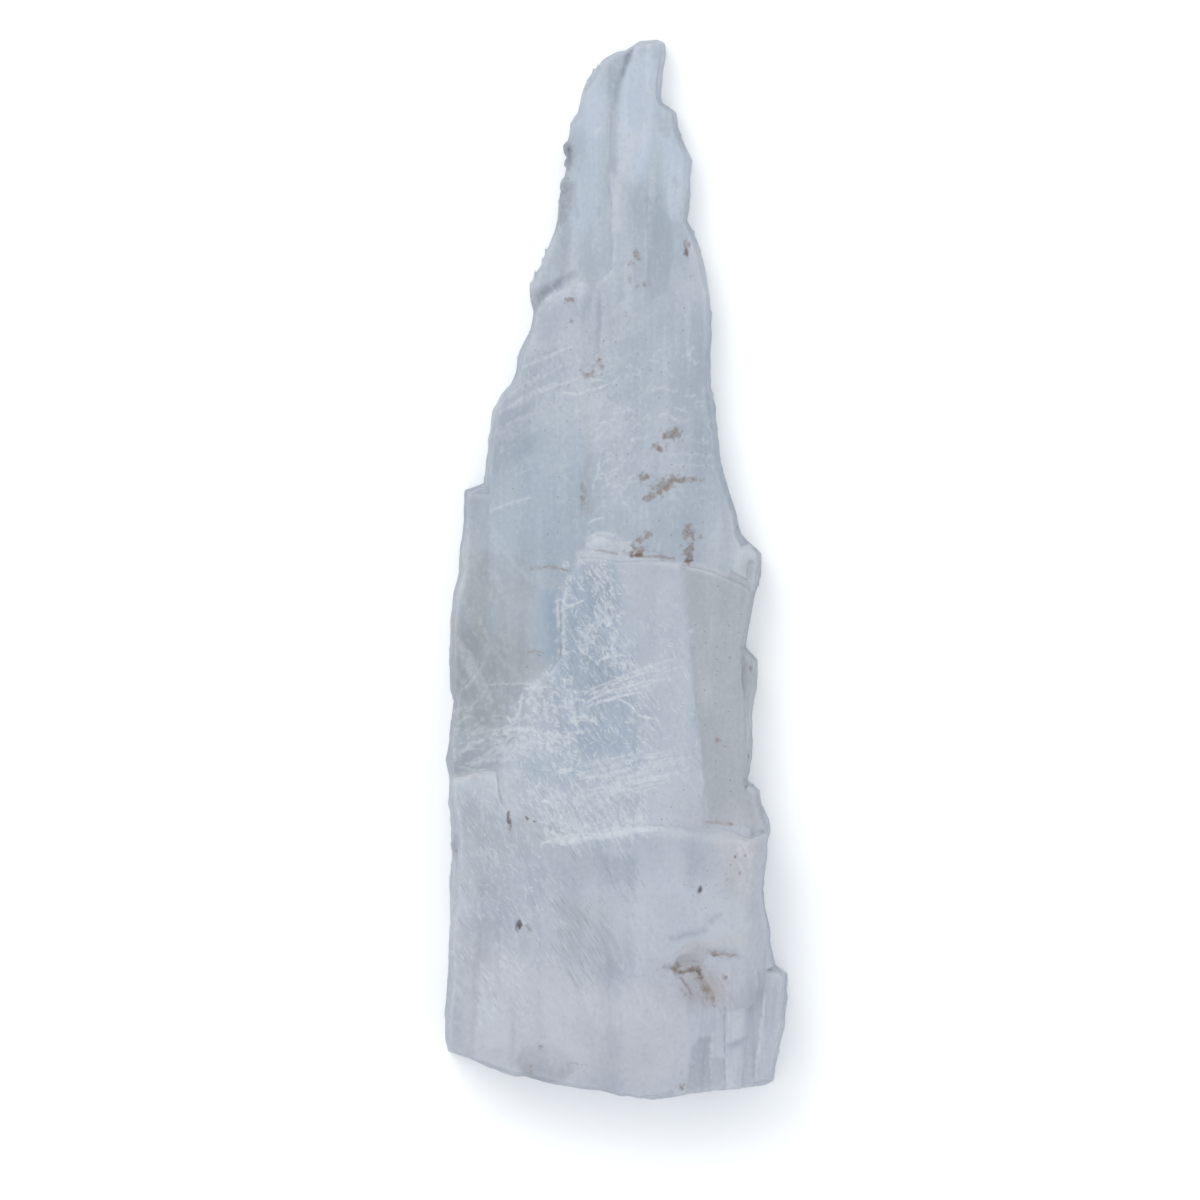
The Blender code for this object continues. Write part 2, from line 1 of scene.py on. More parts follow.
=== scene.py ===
"""Selenite slab: the finished surface of one broken, layered piece of clear gypsum.

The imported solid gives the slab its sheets, ledges, pits and bands. A copy of it grows
splinters and feathery flakes, is fused into one closed skin and given fine relief. It then
takes a see-through, milky finish with feathered cleavage, scratches, stains and mud.

Places on the slab are in millimetres in its own frame: +X across it, +Y to its tip, +Z up.
"""

import logging
import math
from dataclasses import dataclass, field
from enum import Enum
from random import Random
from typing import Optional, Sequence, Union

import bmesh
import bpy
import numpy as np
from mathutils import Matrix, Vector, noise


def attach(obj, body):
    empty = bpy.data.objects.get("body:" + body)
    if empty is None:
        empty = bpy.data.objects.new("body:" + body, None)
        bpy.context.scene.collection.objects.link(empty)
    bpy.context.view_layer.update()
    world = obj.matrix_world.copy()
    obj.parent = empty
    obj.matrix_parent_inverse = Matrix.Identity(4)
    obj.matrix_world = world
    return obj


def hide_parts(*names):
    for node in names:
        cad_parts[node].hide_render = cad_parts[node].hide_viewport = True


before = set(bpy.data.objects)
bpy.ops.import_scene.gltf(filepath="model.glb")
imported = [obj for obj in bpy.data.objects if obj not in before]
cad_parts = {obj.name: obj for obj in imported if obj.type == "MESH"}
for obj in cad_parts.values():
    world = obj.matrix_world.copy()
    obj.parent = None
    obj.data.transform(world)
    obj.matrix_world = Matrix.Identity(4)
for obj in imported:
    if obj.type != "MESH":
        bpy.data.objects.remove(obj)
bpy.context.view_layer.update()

LOG = logging.getLogger("selenite")
NODE = "selenite_slab"
BODY = "root"
LINE_RELIEF = "line_relief"
MM = 0.001

Point = tuple[float, float]
Outline = tuple[Point, ...]
Socket = bpy.types.NodeSocket
Sockets = bpy.types.bpy_prop_collection
Feed = Union[Socket, float, Sequence[float]]


class Tint(Enum):
    """The slab's own colours, as display values from 0 to 255."""

    ICE = (197, 206, 215)           # plain clear gypsum
    PALE = (228, 231, 237)          # milky veils, and painted highlights on the lips of ledges
    FROST = (248, 249, 251)         # fresh fractures, and painted highlights on lips and painted light on walls
    BLUE = (165, 184, 205)          # deep clear places
    SHADE = (157, 167, 180)         # hollows and lower strips
    LILAC = (208, 204, 217)         # the broken end
    GREEN = (164, 168, 168)         # dull corner, seen through to the underside
    ASH = (190, 192, 193)           # the smooth panel at the right
    HAZE = (226, 222, 226)          # warm milky haze
    HATCH = (124, 132, 146)         # fine dark cuts, and painted shade deep under the ledge
    RUST = (152, 124, 106)          # brown streaks
    OCHRE = (214, 203, 190)         # faint iron tint
    MIST = (214, 223, 237)          # the bright clear tip
    PEWTER = (158, 162, 173)        # grey bands and the dome
    CLAY = (176, 164, 160)          # washed-out mud
    STAIN = (150, 132, 122)         # thin brown film
    MUD = (120, 98, 84)             # dried mud in the cracks

    @property
    def linear(self) -> tuple[float, float, float, float]:
        """The colour as linear light, with full alpha.

        Returns:
            Red, green, blue and alpha.
        """
        shares = (value / 255 for value in self.value)
        red, green, blue = (((share + 0.055) / 1.055) ** 2.4 for share in shares)
        return red, green, blue, 1.0


class Chart(Enum):
    """The colour maps that the finished mesh carries, by what their channels hold."""

    TONE = "tone"           # the colour of the clear stone
    MARKS = "marks"         # bright lines, dark lines, brown lines
    DIRT = "dirt"           # stain, mud, specks
    WEAR_AND_SHADE = "wear_and_shade"           # bright worn edges, creases for painted shade, walls for painted light
    FLAKES = "flakes"       # where short bright flecks lie
    FIBRE = "fibre"         # where threads run aslant, where lengthwise, where dark hairs run


@dataclass(frozen=True)
class Patch:
    """An area of one tint seen from above, with a soft edge."""

    name: str
    tint: Tint
    outline: Outline
    soft: float = 2.0
    amount: float = 0.5
    rough: float = 1.0      # how far the edge wanders


class Mark(Enum):
    """The kinds of fine line, each with its channel in the chart of marks."""

    BRIGHT = 0
    DARK = 1
    BROWN = 2


@dataclass(frozen=True)
class Dusting:
    """An area that specks cover, with a soft edge."""

    outline: Outline
    soft: float = 5.0
    amount: float = 1.0


@dataclass(frozen=True)
class Spot:
    """A small blot: its centre, its half length and half width, and its turn in degrees."""

    centre: Point
    radii: Point
    turn: float = 0.0
    amount: float = 1.0


@dataclass(frozen=True)
class Line:
    """A fine bowed line on the surface, from start to end."""

    start: Point
    end: Point
    width: float = 0.5
    bow: float = 0.0
    amount: float = 1.0


@dataclass(frozen=True)
class Strokes:
    """A field of short bowed lines, in mm and in degrees from +X."""

    name: str
    mark: Mark
    outline: Outline
    count: int
    heading: float
    stray: float
    length: Point           # the least and the most
    width: Point
    bow: Point              # the most to either side
    rise: float             # how far a line stands up, or is cut in if it is less than 0
    amount: float = 1.0
    cluster: float = 0.5    # 0 spreads the lines evenly, 1 gathers them in tufts


# ---- places on the slab -----------------------------------------------------------------

TONES = (
    Patch("tip", Tint.ICE, ((-50, 78), (50, 70), (50, 160), (-50, 160)), 10.0, 0.9),
    Patch("tip lobe", Tint.MIST, ((-9.5, 134), (-4.5, 138.5), (-2.5, 133), (-3.5, 124), (-7.5, 121),
          (-11, 125.5)), 6.0, 1.0),
    Patch("tip lobe foot", Tint.MIST, ((-11, 126), (-4, 124), (-4, 100), (-10, 92), (-13, 96),
          (-12.5, 112)), 5.0, 0.6),
    Patch("tip centre", Tint.MIST, ((1.5, 140), (5, 146), (11, 147), (11, 124), (8.4, 112),
          (4, 108), (0.5, 118)), 4.0, 0.95),
    Patch("tip band", Tint.SHADE, ((-2.6, 143), (1.2, 140), (0.7, 130), (0.3, 112), (-2.9, 112),
          (-2.6, 130)), 1.2, 0.4, 0.4),
    # painted shade in the groove at the tip
    Patch("tip groove", Tint.SHADE, ((4, 147.5), (5, 147), (3, 142), (1.8, 138.5), (0.8, 139),
          (2.4, 143.5)), 1.0, 0.9),
    Patch("tip stripe", Tint.PALE, ((3.5, 123), (6, 123), (4, 113), (2.5, 103), (1, 95), (-1.6, 95),
          (-0.5, 103), (1, 113)), 1.6, 0.7),
    Patch("tip shade", Tint.SHADE, ((8.5, 106), (14.5, 106), (16, 88), (14, 78), (9.5, 76),
          (8.7, 92)), 1.0, 0.34, 0.3),
    Patch("tip right", Tint.MIST, ((11, 124), (20, 119), (20.8, 108.5), (18, 98), (15.4, 99),
          (14, 108)), 3.0, 0.9),
    Patch("left pits", Tint.HATCH, ((-18, 110), (-12.8, 109.5), (-12.4, 103), (-14, 98), (-18, 96)),
          2.6, 0.7),
    Patch("left knob", Tint.HATCH, ((-16, 121), (-12.6, 120), (-12.4, 113.5), (-16, 113)), 2.2,
          0.9),
    Patch("left rib", Tint.SHADE, ((-15, 97.5), (-12.6, 97.5), (-13.2, 80.5), (-16, 79)), 2.0, 0.4),
    # painted shade: the two patches below darken the ground under the ledge
    Patch("under ledge", Tint.SHADE, ((-23.6, 72.5), (-23.6, 77.5), (-19.4, 80), (-11.7, 84.5),
          (-10.9, 82.2), (-16, 80), (-20.2, 76.8)), 1.6, 1.0),
    Patch("ledge deep", Tint.HATCH, ((-24, 72.5), (-23.8, 79), (-19.4, 81), (-12.4, 84),
          (-16.4, 80.6), (-20.4, 77)), 2.0, 0.7),
    Patch("ledge light", Tint.PALE, ((-20, 75.5), (-14.3, 79.6), (-4.7, 81.6), (-3.5, 79),
          (-11.7, 76.8), (-18.2, 72.8)), 1.6, 0.06),
    Patch("under light", Tint.SHADE, ((-24, 74), (-8, 76), (-6.5, 58), (-28, 50)), 6.0, 0.38),
    Patch("seam", Tint.SHADE, ((-5.7, 76), (-4.3, 76), (-4.7, 67.7), (-5.5, 59), (-7, 59),
          (-6.4, 67.7)), 1.0, 0.5),
    Patch("upper left", Tint.SHADE, ((-36, 45), (-24.5, 46.5), (-23, 34), (-33, 25), (-36.5, 28)),
          8.0, 0.42),
    Patch("upper veil", Tint.PALE, ((-4, 76), (6, 76), (1, 63), (-4, 62)), 5.0, 0.2),
    Patch("upper right", Tint.SHADE, ((18, 78), (26.5, 76), (27, 53), (31, 25), (21, 25), (14, 48)),
          7.0, 0.2),
    Patch("plate", Tint.BLUE, ((-32, 35), (-5, 40), (-2, 22), (-8, 8), (-16, 2), (-33, 0)), 9.0,
          0.22),
    Patch("strip low", Tint.SHADE, ((-50, 24.5), (-35.8, 24.5), (-35.2, -20), (-33, -34),
          (-50, -37)), 1.2, 0.32, 0.5),
    Patch("strip dark", Tint.GREEN, ((-43, 5), (-35.8, 5), (-36.3, -25), (-43, -25)), 4.0, 0.78),
    Patch("pocket dim", Tint.GREEN, ((-35, -3), (-24, -5), (-25, -22), (-35, -24)), 6.0, 0.35),
    Patch("edge tan", Tint.CLAY, ((-50, -12), (-43.5, -14), (-42.5, -26), (-44, -40), (-50, -42)),
          3.0, 0.22),
    Patch("dull corner", Tint.GREEN, ((-50, -18), (-35, -16), (-27, -20), (-20, -28), (-24, -33),
          (-31, -46), (-50, -47)), 7.0, 0.62),
    Patch("blue pocket", Tint.BLUE, ((-22, -6), (-15, -6), (-16, -23), (-19, -28), (-24, -20)), 4.0,
          0.5),
    Patch("middle", Tint.PALE, ((-11.2, 3.5), (-7, 4.4), (6.6, 3.8), (20, 2.4), (22, -20),
          (23.6, -42.5), (26, -72), (-4.7, -74), (-19.4, -76.5), (-31.5, -66.5), (-32, -56.5),
          (-35.5, -46), (-31, -42.3), (-28, -39.4), (-26.4, -33.5), (-21.6, -31.2), (-16.5, -24.7),
          (-16.8, -10.6), (-14, -3)), 1.0, 0.2),
    Patch("middle blue", Tint.BLUE, ((-12.6, 0), (0.4, 2), (-0.4, -14.3), (6.6, -37), (6.6, -54),
          (-7.5, -52), (-22, -44), (-18, -28), (-15.4, -11.5)), 8.0, 0.52),
    Patch("left tuft shade", Tint.SHADE, ((-30, -34), (-18, -31), (-14, -46), (-34, -50)), 4.0,
          0.58),
    Patch("corner foot", Tint.GREEN, ((-43, -30), (-31, -33), (-28, -48), (-43, -48)), 4.0, 0.3),
    Patch("plate foot", Tint.GREEN, ((-36, 4), (-23, 3), (-23, -9), (-36, -9)), 4.0, 0.24),
    Patch("north tuft shade", Tint.SHADE, ((-8.5, 1), (-2, 1), (-1.4, -13), (-8, -14)), 3.0, 0.46),
    Patch("upper tuft shade", Tint.SHADE, ((-14, -12), (-5, -15), (4, -34), (-10, -38), (-18, -27)),
          4.0, 0.28),
    Patch("centre haze", Tint.HAZE, ((-13, -38), (9, -36), (11, -53), (-12, -54)), 5.0, 0.15),
    Patch("north haze", Tint.HAZE, ((0, 2), (10, 2), (12, -14), (2, -13)), 3.0, 0.26),
    Patch("right foot haze", Tint.HAZE, ((13, -60), (28, -58), (31, -77), (12, -76)), 4.0, 0.32),
    Patch("left blue", Tint.BLUE, ((-28, -48.5), (-10, -49), (-7, -57), (-14, -60), (-27, -58)),
          5.0, 0.26),
    Patch("middle right", Tint.PALE, ((9, 2), (20, 1), (24, -60), (13, -60), (11, -20)), 6.0, 0.14),
    Patch("middle foot", Tint.PALE, ((6, -55), (21, -55), (24.5, -71), (6, -71)), 2.5, 0.2, 0.4),
    Patch("panel", Tint.ASH, ((18.2, 2), (23.6, 1.6), (31.5, -1.6), (38, -5.5), (43, -8), (41, -22),
          (42, -30), (42, -50), (37, -58), (41, -66), (42, -72), (25.9, -71.4), (23.1, -42.6),
          (20.8, -20)), 0.9, 0.85, 0.6),
    Patch("panel foot", Tint.HAZE, ((25, -28), (42, -28), (40, -70), (27, -70)), 8.0, 0.16),
    Patch("wedge", Tint.OCHRE, ((31.2, -0.7), (34.4, 3.3), (41, 4.4), (41, -1.6), (37.8, -5.8)),
          1.2, 0.3),
    Patch("wedge face", Tint.PALE, ((32, 5), (40, 6), (40, -4), (34, -4)), 1.6, 0.2),
    Patch("fan rim", Tint.OCHRE, ((-48, -59), (-44.5, -57), (-38, -55.8), (-33, -57.4),
          (-33, -59.4), (-38, -57.9), (-47, -61)), 1.6, 0.45, 0.6),
    Patch("left band", Tint.SHADE, ((-48, -48.8), (-33, -47.7), (-32, -56), (-42.8, -57.3),
          (-48, -58.7)), 2.0, 0.52),
    Patch("left band dull", Tint.GREEN, ((-48, -48), (-34, -48), (-33, -56), (-48, -59)), 3.0, 0.3),
    Patch("fan", Tint.PALE, ((-46, -59), (-43, -57.5), (-31.5, -56.7), (-29.5, -62.5),
          (-25.3, -70.5), (-34, -68.5), (-41.5, -62)), 3.5, 0.62),
    Patch("lower block", Tint.PALE, ((-50, -60), (-30, -66), (-19, -77), (24, -76), (45, -80),
          (50, -155), (-50, -155)), 5.0, 0.34),
    Patch("lower left", Tint.SHADE, ((-50, -62), (-33, -65), (-27, -82), (-30, -95), (-50, -95)),
          8.0, 0.16),
    Patch("lower left dull", Tint.CLAY, ((-50, -62), (-36, -66), (-28, -80), (-31, -92),
          (-50, -92)), 6.0, 0.16),
    Patch("under fan", Tint.CLAY, ((-31, -71), (-13, -66), (-12, -80), (-29, -79)), 4.0, 0.16),
    Patch("under fan shade", Tint.SHADE, ((-20, -66), (-12, -66), (-11, -80), (-19, -80)), 4.0,
          0.16),
    Patch("right haze", Tint.PALE, ((14, -78), (42, -80), (42, -112), (20, -100)), 6.0, 0.36),
    Patch("lower light", Tint.HAZE, ((-22, -92), (16, -92), (16, -110), (-18, -112)), 7.0, 0.18),
    Patch("broken end", Tint.LILAC, ((-50, -95), (50, -118), (50, -155), (-50, -155)), 22.0, 0.4),
    # painted shade: the crescent patches below darken the shallow dish under the lower lip
    Patch("crescent", Tint.SHADE, ((-20, -79), (-4.7, -76), (12.3, -75.5), (23.6, -78), (26, -83.5),
          (23.6, -88), (-4.7, -88.5), (-16, -86)), 4.0, 0.05),
    Patch("crescent left", Tint.SHADE, ((-4.7, -81), (5.8, -81), (4.7, -88.3), (-4.7, -89)), 3.0,
          0.34),
    Patch("crescent right", Tint.SHADE, ((20.2, -78.8), (25, -79.3), (26, -86.4), (20.8, -90),
          (18, -88)), 3.0, 0.18),
    Patch("facet", Tint.BLUE, ((38.3, -74.2), (46, -70), (42.5, -87.8), (44, -104.8), (45, -111.8),
          (39.7, -110.4), (37.8, -93.5)), 1.4, 0.3),
    Patch("ochre lip", Tint.OCHRE, ((33, -76), (40.5, -74.2), (39.5, -79.3), (35, -79.3)), 4.0,
          0.4),
    Patch("band one", Tint.PEWTER, ((18.8, -150), (21.3, -134), (23, -131.5), (27, -131),
          (26.8, -140), (26.3, -150)), 0.6, 0.62, 0.15),
    Patch("band two", Tint.PALE, ((26.8, -137), (26.9, -131), (28, -124.5), (30.2, -124.1),
          (30, -137)), 0.6, 0.3, 0.15),
    Patch("band two foot", Tint.PEWTER, ((26.4, -150), (26.8, -137), (30, -137), (29.8, -150)), 0.8,
          0.38, 0.15),
    Patch("band edge", Tint.SHADE, ((29.9, -148), (30.2, -123), (30.7, -123), (30.5, -148)), 0.4,
          0.5, 0.1),
    Patch("window", Tint.FROST, ((31, -124.4), (36.4, -123.2), (35.8, -131.2), (31, -133)), 0.9,
          0.52, 0.5),
    # painted shade at the foot of the window
    Patch("window foot", Tint.SHADE, ((30.8, -133.4), (35.8, -131.4), (35.7, -133.2), (33, -134.4),
          (30.8, -134.4)), 0.8, 0.36, 0.3),
    Patch("block", Tint.FROST, ((30.8, -136), (35.4, -134), (34, -147), (30.6, -147)), 1.0, 0.2,
          0.2),
    Patch("band four", Tint.PEWTER, ((38.2, -114), (40.8, -114), (41.4, -121.6), (39.8, -134),
          (38.6, -150), (34.4, -150), (36, -134), (37, -122)), 0.5, 0.14, 0.15),
    Patch("band five", Tint.PALE, ((42.2, -111), (50, -111), (50, -124.6), (46, -148), (38.9, -148),
          (40.2, -134)), 0.5, 0.34, 0.15),
    Patch("dome", Tint.PEWTER, ((-28.7, -138.7), (-26, -134), (-18.8, -133), (-13.7, -135.3),
          (-11.7, -140), (-16, -144.5), (-24.5, -146)), 1.5, 0.75, 0.4),
    Patch("dome spot", Tint.PALE, ((-31.5, -140.4), (-27.3, -138.7), (-27.3, -143),
          (-30.7, -143.8)), 1.4, 0.6),
    # painted highlights: the three lips below are the lit edges of ledges, in frost, with the
    # whiteness of fresh fracture
    Patch("lower lip", Tint.FROST, ((-21.5, -76.7), (-4.7, -74), (6, -72.4), (13, -72.4),
          (13, -73.2), (6, -74), (-4.7, -75.6), (-14.6, -77.1)), 0.8, 0.6, 0.4),
    Patch("lip right", Tint.FROST, ((6, -72.2), (23.6, -74), (38, -76.3), (38, -77.6), (23.6, -76),
          (6, -74.4)), 2.0, 0.26),
    Patch("middle lip", Tint.FROST, ((-11.2, 5), (6.6, 4.6), (23.6, 1.9), (31.5, -1.2), (31, -3),
          (23.6, -0.4), (6.6, 2.2), (-11, 2.4)), 1.2, 0.4),
    Patch("brow", Tint.PALE, ((-8.6, 7), (-4.7, 10.3), (0.4, 9.2), (6.6, 5.5), (-7, 4)), 1.5, 0.5),
    Patch("seam band", Tint.CLAY, ((-5.5, 68), (-3.8, 68), (-4.5, 55), (-6.5, 45), (-7, 15.5),
          (-10.6, 15.5), (-10, 45), (-7.5, 55)), 0.8, 0.2, 0.5),
    Patch("seam foot", Tint.CLAY, ((-8.4, 32), (-7.9, 16), (-10, 15), (-10.4, 27)), 2.8, 0.1),
    Patch("seam veil", Tint.PALE, ((4, 32), (-5, 30), (-6.4, 18), (-2, 14), (2, 20)), 3.5, 0.16),
    Patch("upper clear", Tint.SHADE, ((-4, 50), (8, 50), (8, 26), (-4, 27)), 4.0, 0.22),
    Patch("middle haze", Tint.LILAC, ((4, 2), (20.6, 1), (21, -24), (10, -30), (6, -12)), 9.0,
          0.36),
    Patch("middle teal", Tint.BLUE, ((-12.6, -43), (2, -41), (8, -50), (6.7, -56), (-10, -55)), 4.0,
          0.22),
    Patch("lower haze", Tint.HAZE, ((26, -70), (42, -70), (43, -112), (14, -112), (0, -120),
          (-46, -96), (-46, -136), (8, -146), (17, -140), (20, -124), (36, -120), (41, -110),
          (28, -92)), 12.0, 0.55),
    Patch("lower dim", Tint.GREEN, ((-22.8, -80), (-4.7, -79), (-4.7, -89), (-20, -89)), 5.0, 0.14),
    Patch("left rise", Tint.PALE, ((-37, -108), (-30, -108), (-31, -134), (-40.3, -134)), 1.4,
          0.25),
    Patch("cut haze", Tint.CLAY, ((-19, -92), (-3, -92), (0, -106), (-4, -118), (-18, -116)), 6.0,
          0.14),
    Patch("pale block", Tint.PALE, ((-21.6, -108), (-7, -109), (-7, -127), (-21, -127)), 2.0, 0.2),
    Patch("mud rim", Tint.OCHRE, ((15.7, -111.6), (18.2, -107), (21.7, -104.3), (27.8, -103.5),
          (36.8, -102.5), (36.8, -105), (30.3, -105.5), (24.2, -108.5), (23.2, -112.6),
          (16.7, -113.6)), 4.0, 0.36),
    Patch("mud bright", Tint.HAZE, ((16, -109.6), (18.2, -106.4), (22, -104), (30, -102.6),
          (38, -101), (38, -105), (27, -105.4), (20, -110)), 3.0, 0.25),
    Patch("mud bloom", Tint.CLAY, ((15.5, -111.6), (17, -107.6), (21, -105.2), (25, -105.6),
          (24.6, -110.6), (20.5, -112.8)), 3.4, 0.28),
    Patch("mud halo", Tint.CLAY, ((16, -111.6), (24.5, -110.6), (28.5, -113), (30.5, -119),
          (27.6, -122), (22, -123), (18, -120)), 4.0, 0.34),
    Patch("mud wash", Tint.CLAY, ((24.8, -105.8), (28, -109), (35, -109.4), (34, -106.6),
          (28, -106)), 2.4, 0.32),
    Patch("shoulder tan", Tint.OCHRE, ((28, -76), (38, -76), (38.4, -90), (31, -92)), 5.0, 0.25),
    Patch("mud shade", Tint.SHADE, ((14, -103.2), (20, -101.4), (25, -99.8), (25, -101.6),
          (20, -103), (15, -104.5)), 1.8, 0.5),
    Patch("north shade", Tint.SHADE, ((24.3, -99.2), (27, -97), (30, -96.3), (29.6, -98),
          (26.5, -99.8)), 1.6, 0.5),
)

WORN = (
    Dusting(((-42, -54), (-28, -52), (-14, -68), (-10, -80), (-24, -84), (-42, -76)), 4.0),
    Dusting(((-18, -68), (38, -66), (38, -80), (-18, -82)), 4.0, 0.7),
    Dusting(((-48, -42), (-30, -38), (-18, -24), (-8, -40), (-28, -58), (-48, -61)), 4.0, 0.9),
    Dusting(((-39, 23), (-31, 23), (-31, -26), (-41, -26)), 3.0, 0.9),
    Dusting(((-28, 84), (24, 84), (25, 44), (-30, 44)), 5.0, 0.85),
    Dusting(((17, -123), (30, -119), (39, -106), (44, -116), (41, -128), (26, -138), (17, -147)),
            3.0, 0.85),
    Dusting(((-12, 140), (10, 146), (19, 110), (22, 80), (-18, 80), (-13, 110)), 4.0, 0.7),
    Dusting(((26, 2), (33, 9), (38, 8), (38, -6)), 2.0, 0.5),
)

LEVELLED = (
    Dusting(((-40, -52), (-28, -50), (-20, -60), (-10, -72), (-14, -85), (-27, -84), (-40, -73)),
            5.0),
)

ASLANT = (
    Dusting(((-13, 3), (0, 3), (2, -14), (9, -32), (12, -48), (9, -60), (-14, -62), (-29, -60),
            (-30, -50), (-22, -36), (-16, -24), (-16, -8)), 4.0, 0.8),
    Dusting(((-22, -60), (6, -58), (10, -70), (-2, -75), (-18, -77), (-27, -66)), 3.0),
    Dusting(((4, -4), (20, -4), (26, -70), (8, -72)), 8.0, 0.25),
    Dusting(((-48, -60), (-31, -66), (-18, -80), (-10, -110), (-30, -128), (-48, -128)), 8.0, 0.8),
    Dusting(((-20, -82), (30, -84), (16, -124), (-24, -128)), 10.0, 0.25),
)

LENGTHWISE = (
    Dusting(((-16, 140), (14, 146), (26, 70), (26, 30), (-36, 30), (-24, 80)), 8.0, 0.28),
    Dusting(((-36, 30), (30, 30), (36, 6), (-10, 6), (-34, 6)), 10.0, 0.3),
    Dusting(((19, -128), (48, -116), (46, -148), (19, -150)), 2.0, 0.35),
    Dusting(((-48, 20), (-36, 20), (-36, -20), (-48, -30)), 4.0, 0.25),
)

HATCHED = (
    Dusting(((-18, -92), (-4, -92), (0, -104), (-5, -115), (-17, -114)), 5.0, 1.0),
    Dusting(((-20, -79), (8, -78), (8, -92), (-18, -90)), 5.0, 0.5),
    Dusting(((-13, 2), (-1, 1), (1, -14), (9, -32), (11, -46), (-10, -50), (-16, -24), (-15, -8)),
            5.0, 0.25),
    Dusting(((-48, -61), (-31, -66), (-22, -80), (-22, -104), (-30, -122), (-48, -126)), 6.0, 0.12),
)

FEATHERED = (
    Dusting(((-14, 3), (-1, 3), (2, -14), (9, -30), (12, -48), (8, -62), (-14, -66), (-29, -62),
            (-30, -50), (-24, -38), (-17, -26), (-16, -8)), 4.0, 0.5),
    Dusting(((-11, -16), (-3, -14), (2, -24), (-2, -30), (-11, -28)), 4.0, 0.9),
    Dusting(((-22, -33), (-15, -27), (-11, -32), (-14, -38), (-6, -41), (-8, -46), (-21, -44)), 4.0,
            0.8),
    Dusting(((-31, -44), (-8, -44), (-15, -48), (-6, -53), (-28, -51)), 5.0, 0.55),
    Dusting(((4, -8), (18, -8), (22, -56), (12, -62)), 8.0, 0.16),
    Dusting(((-22, -60), (6, -58), (9, -70), (-2, -75), (-18, -77), (-27, -66)), 3.0, 0.75),
    Dusting(((-42, -62), (-30, -60), (-20, -76), (-24, -96), (-40, -100)), 6.0, 0.22),
)

BUSY = (
    Dusting(((-16, 4), (4, 4), (14, -30), (14, -60), (6, -78), (-30, -80), (-48, -60), (-40, -46),
            (-24, -38)), 1.0),
    Dusting(((-16, -92), (0, -92), (0, -116), (-16, -116)), 1.0),
    Dusting(((14, -102), (38, -102), (38, -124), (14, -124)), 1.0),
)

SPECKLED = (
    Dusting(((20, 0), (38, -6), (38, -78), (26, -78)), 3.0, 0.9),
    Dusting(((-24, 76), (24, 76), (26, 10), (-8, 6), (-34, 10), (-30, 50)), 12.0, 0.5),
    Dusting(((8, -50), (26, -50), (38, -90), (24, -96), (10, -76)), 6.0, 0.8),
)

